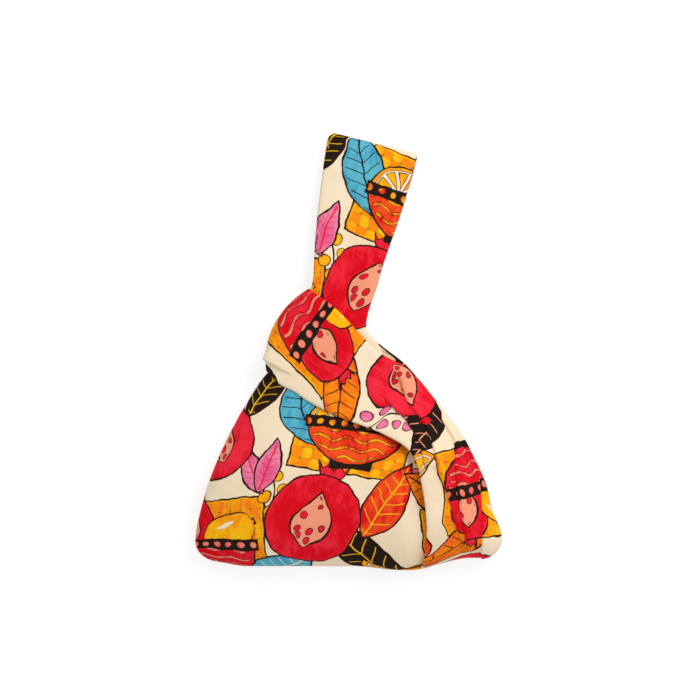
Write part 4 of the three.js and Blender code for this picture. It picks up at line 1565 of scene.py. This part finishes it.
class KNOTBAG_OT_short_handle(bpy.types.Operator):
    """Make the front and the back of the short handle, with the lapping side of the pleat"""

    bl_idname = "knotbag.short_handle"
    bl_label = "Short handle"

    def execute(self, context):
        settings = context.scene.knot_bag
        for side, is_front, facing in (("front", True, -1.0), ("back", False, 1.0)):
            points, calm, t = short_grid(settings, is_front)
            armhole = t < AT_PLEAT
            free = (armhole | is_front, armhole)
            name = f"{side}_short_handle"
            nodes = (f"{name}_root", f"{name}_loop")
            slides_with_loop(sew(settings, name, points, facing, free, nodes, calm))
        return {"FINISHED"}


# Stitches


def stitch_tree():
    """Geometry nodes that lay stitches end to end along a line."""
    inputs = {"Line": "Geometry", "Material": "Material"}
    inputs |= dict.fromkeys(("Stitch", "Gap", "Thread"), "Float")
    sketch, given, made = node_group("Seam stitches", inputs, {"Stitches": "Geometry"}, "GeometryNodeTree")
    line = sketch.node("GeometryNodeMeshToCurve", given["Line"])
    spaced = sketch.node("GeometryNodeResampleCurve", line.outputs[0], mode="LENGTH")
    sketch.fed(spaced, Length=given["Stitch"] + given["Gap"])
    turned = sketch.node("FunctionNodeAlignRotationToVector", axis="X")
    sketch.fed(turned, Vector=sketch.node("GeometryNodeInputTangent").outputs[0])
    size = sketch.node("ShaderNodeCombineXYZ", given["Stitch"], given["Thread"], given["Thread"])
    laid = sketch.fed(
        sketch.node("GeometryNodeInstanceOnPoints", spaced.outputs[0]),
        Instance=sketch.node("GeometryNodeMeshUVSphere", *STITCH_FACES, 0.5).outputs["Mesh"],
        Rotation=turned.outputs[0],
        Scale=size.outputs[0],
    )
    whole = sketch.node("GeometryNodeRealizeInstances", laid.outputs[0])
    rounded = sketch.node("GeometryNodeSetShadeSmooth", whole.outputs[0])
    dressed = sketch.node("GeometryNodeSetMaterial", rounded.outputs[0])
    sketch.fed(dressed, Material=given["Material"])
    sketch.feed(made["Stitches"], dressed.outputs[0])
    return sketch.tree


def stitched(settings, name, line, body):
    """The stitches of one seam, as a plain mesh that moves with a body."""
    sizes = settings.sizes
    path = bpy.data.meshes.new(f"{name}_path")
    path.from_pydata(seated(line).tolist(), [(i, i + 1) for i in range(len(line) - 1)], [])
    made = bpy.data.objects.new(name, path)
    bpy.context.scene.collection.objects.link(made)
    modifier = made.modifiers.new("Stitches", "NODES")
    modifier.node_group = bpy.data.node_groups.get("Seam stitches") or stitch_tree()
    values = {
        "Stitch": sizes.stitch,
        "Gap": sizes.stitch_gap,
        "Thread": sizes.thread,
        "Material": material_named("sewing_thread", sewing_thread, settings.colours),
    }
    for item in modifier.node_group.interface.items_tree:
        if item.name in values:
            modifier[item.identifier] = values[item.name]
    finished = made.evaluated_get(bpy.context.evaluated_depsgraph_get())
    made.data = bpy.data.meshes.new_from_object(finished)
    made.modifiers.remove(modifier)
    bpy.data.meshes.remove(path)
    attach(made, body)


def body_seam(sizes):
    """The line of the left, bottom and right seams of the body."""
    share = np.linspace(0, 1, SEAM_STEPS) ** 2
    left = share[::-1] * LEFT_SEAM_TOP
    right = share * ARMHOLE_FOOT
    bottom = np.linspace(left_x(sizes, 0.0), right_x(sizes, 0.0), SEAM_STEPS)[1:-1]
    x = np.concatenate([left_x(sizes, left), bottom, right_x(sizes, right)])
    height = np.concatenate([left, np.zeros_like(bottom), right])
    return placed(x, height, sizes.seam_height)


def between_corners(line):
    """The stretch of a handle's end that its stitches run along."""
    walked = row_lengths(line[None])[0]
    return line[(walked > STITCH_MARGIN) & (walked < walked[-1] - STITCH_MARGIN)]


class KNOTBAG_OT_seam_stitches(bpy.types.Operator):
    """Make the stitches of the body's seams and of the ends of the two handles"""

    bl_idname = "knotbag.seam_stitches"
    bl_label = "Seam stitches"

    def execute(self, context):
        settings = context.scene.knot_bag
        sizes = settings.sizes
        across = np.linspace(0, 1, CLOTH_COLUMNS)[None, :]
        handle_end = between_corners(handle_free(sizes, across, True)[-1])
        loop_end = between_corners(short_cloth(sizes, True)[0][0])
        stitched(settings, "body_seam_stitches", body_seam(sizes), "bag")
        stitched(settings, "handle_end_stitches", handle_end, "long_handle")
        stitched(settings, "loop_end_stitches", loop_end, "short_loop")
        return {"FINISHED"}


# Stage


def aim(scene, data, place, target):
    """An object at a place, turned towards a target."""
    made = bpy.data.objects.new(data.name, data)
    made.location = place
    made.rotation_euler = (target - place).to_track_quat("-Z", "Y").to_euler()
    scene.collection.objects.link(made)
    return made


def seen_directly(sketch):
    """1 for what the camera sees, also in gloss and through glass, and 0 for light on the object."""
    path = sketch.node("ShaderNodeLightPath").outputs
    seen = sketch.math("MAXIMUM", path["Is Camera Ray"], path["Is Glossy Ray"])
    return seen.reckon("MAXIMUM", path["Is Transmission Ray"])


def table():
    """A plain white table that keeps the bag's shadow."""
    half = TABLE_WIDTH / 2
    corners = np.array([(-half, -half, 0), (half, -half, 0), (half, half, 0), (-half, half, 0)])
    lowered = corners - np.array([0, 0, TABLE_DROP])
    made = mesh_object("table", lowered, np.array([[0, 1, 2, 3]]), corners[:, :2])
    material = bpy.data.materials.new("white_table")
    material.use_nodes = True
    material.node_tree.nodes.clear()
    sketch = Sketch(material.node_tree)
    bounce = sketch.node("ShaderNodeBsdfDiffuse", TABLE_BOUNCE)
    shaded = sketch.node("ShaderNodeBsdfDiffuse", TABLE_SHADE)
    glow = sketch.node("ShaderNodeEmission", WHITE, TABLE_GLOW)
    shown = sketch.node("ShaderNodeAddShader", shaded.outputs[0], glow.outputs[0])
    both = sketch.node("ShaderNodeMixShader", seen_directly(sketch), bounce.outputs[0], shown.outputs[0])
    sketch.node("ShaderNodeOutputMaterial", both.outputs[0])
    made.data.materials.append(material)
    return made


def white_world(strength):
    """Even light, with a white background."""
    world = bpy.data.worlds.new("white_world")
    world.use_nodes = True
    sketch = Sketch(world.node_tree)
    lit = seen_directly(sketch) * (1.0 - strength) + strength
    sketch.fed(world.node_tree.nodes["Background"], Color=WHITE, Strength=lit)
    return world


class KNOTBAG_OT_stage(bpy.types.Operator):
    """Make the table, the soft light and the camera"""

    bl_idname = "knotbag.stage"
    bl_label = "Stage"

    def execute(self, context):
        scene = context.scene
        stage = scene.knot_bag.stage
        scene.view_settings.view_transform = "Standard"
        table()
        scene.world = white_world(stage.sky)
        lamp = bpy.data.lights.new("key_lamp", "AREA")
        lamp.energy = stage.key
        lamp.size = stage.key_size
        aim(scene, lamp, Vector(LAMP_PLACE), Vector())
        camera = bpy.data.cameras.new("camera")
        camera.lens = camera.sensor_width * stage.view_distance / stage.view_width
        looking_at = Vector(VIEW_CENTRE)
        above = looking_at + Vector((0, 0, stage.view_distance))
        scene.camera = aim(scene, camera, above, looking_at)
        return {"FINISHED"}


class KNOTBAG_PT_panel(bpy.types.Panel):
    """Lists the settings and the pieces of the bag"""

    bl_idname = "KNOTBAG_PT_panel"
    bl_label = "Knot Bag"
    bl_space_type = "VIEW_3D"
    bl_region_type = "UI"
    bl_category = "Knot Bag"

    def draw(self, context):
        settings = context.scene.knot_bag
        for operator in OPERATORS:
            self.layout.operator(operator.bl_idname)
        for group in (settings.sizes, settings.colours, settings.stage):
            box = self.layout.box()
            for name in group.__annotations__:
                box.prop(group, name)


OPERATORS = (
    KNOTBAG_OT_stage,
    KNOTBAG_OT_front_cloth,
    KNOTBAG_OT_back_cloth,
    KNOTBAG_OT_short_handle,
    KNOTBAG_OT_seam_stitches,
)
CLASSES = (
    KnotBagSizes,
    KnotBagColours,
    KnotBagStage,
    KnotBagSettings,
    *OPERATORS,
    KNOTBAG_PT_panel,
)


def register():
    """Adds the classes and the scene's settings."""
    for each in CLASSES:
        bpy.utils.register_class(each)
    bpy.types.Scene.knot_bag = PointerProperty(type=KnotBagSettings)


def unregister():
    """Takes the settings and the classes out again."""
    del bpy.types.Scene.knot_bag
    for each in reversed(CLASSES):
        bpy.utils.unregister_class(each)


def main():
    """Makes the bag and its stage."""
    register()
    bpy.ops.knotbag.stage()
    bpy.ops.knotbag.front_cloth()
    bpy.ops.knotbag.back_cloth()
    bpy.ops.knotbag.short_handle()
    bpy.ops.knotbag.seam_stitches()


if __name__ == "__main__":
    main()
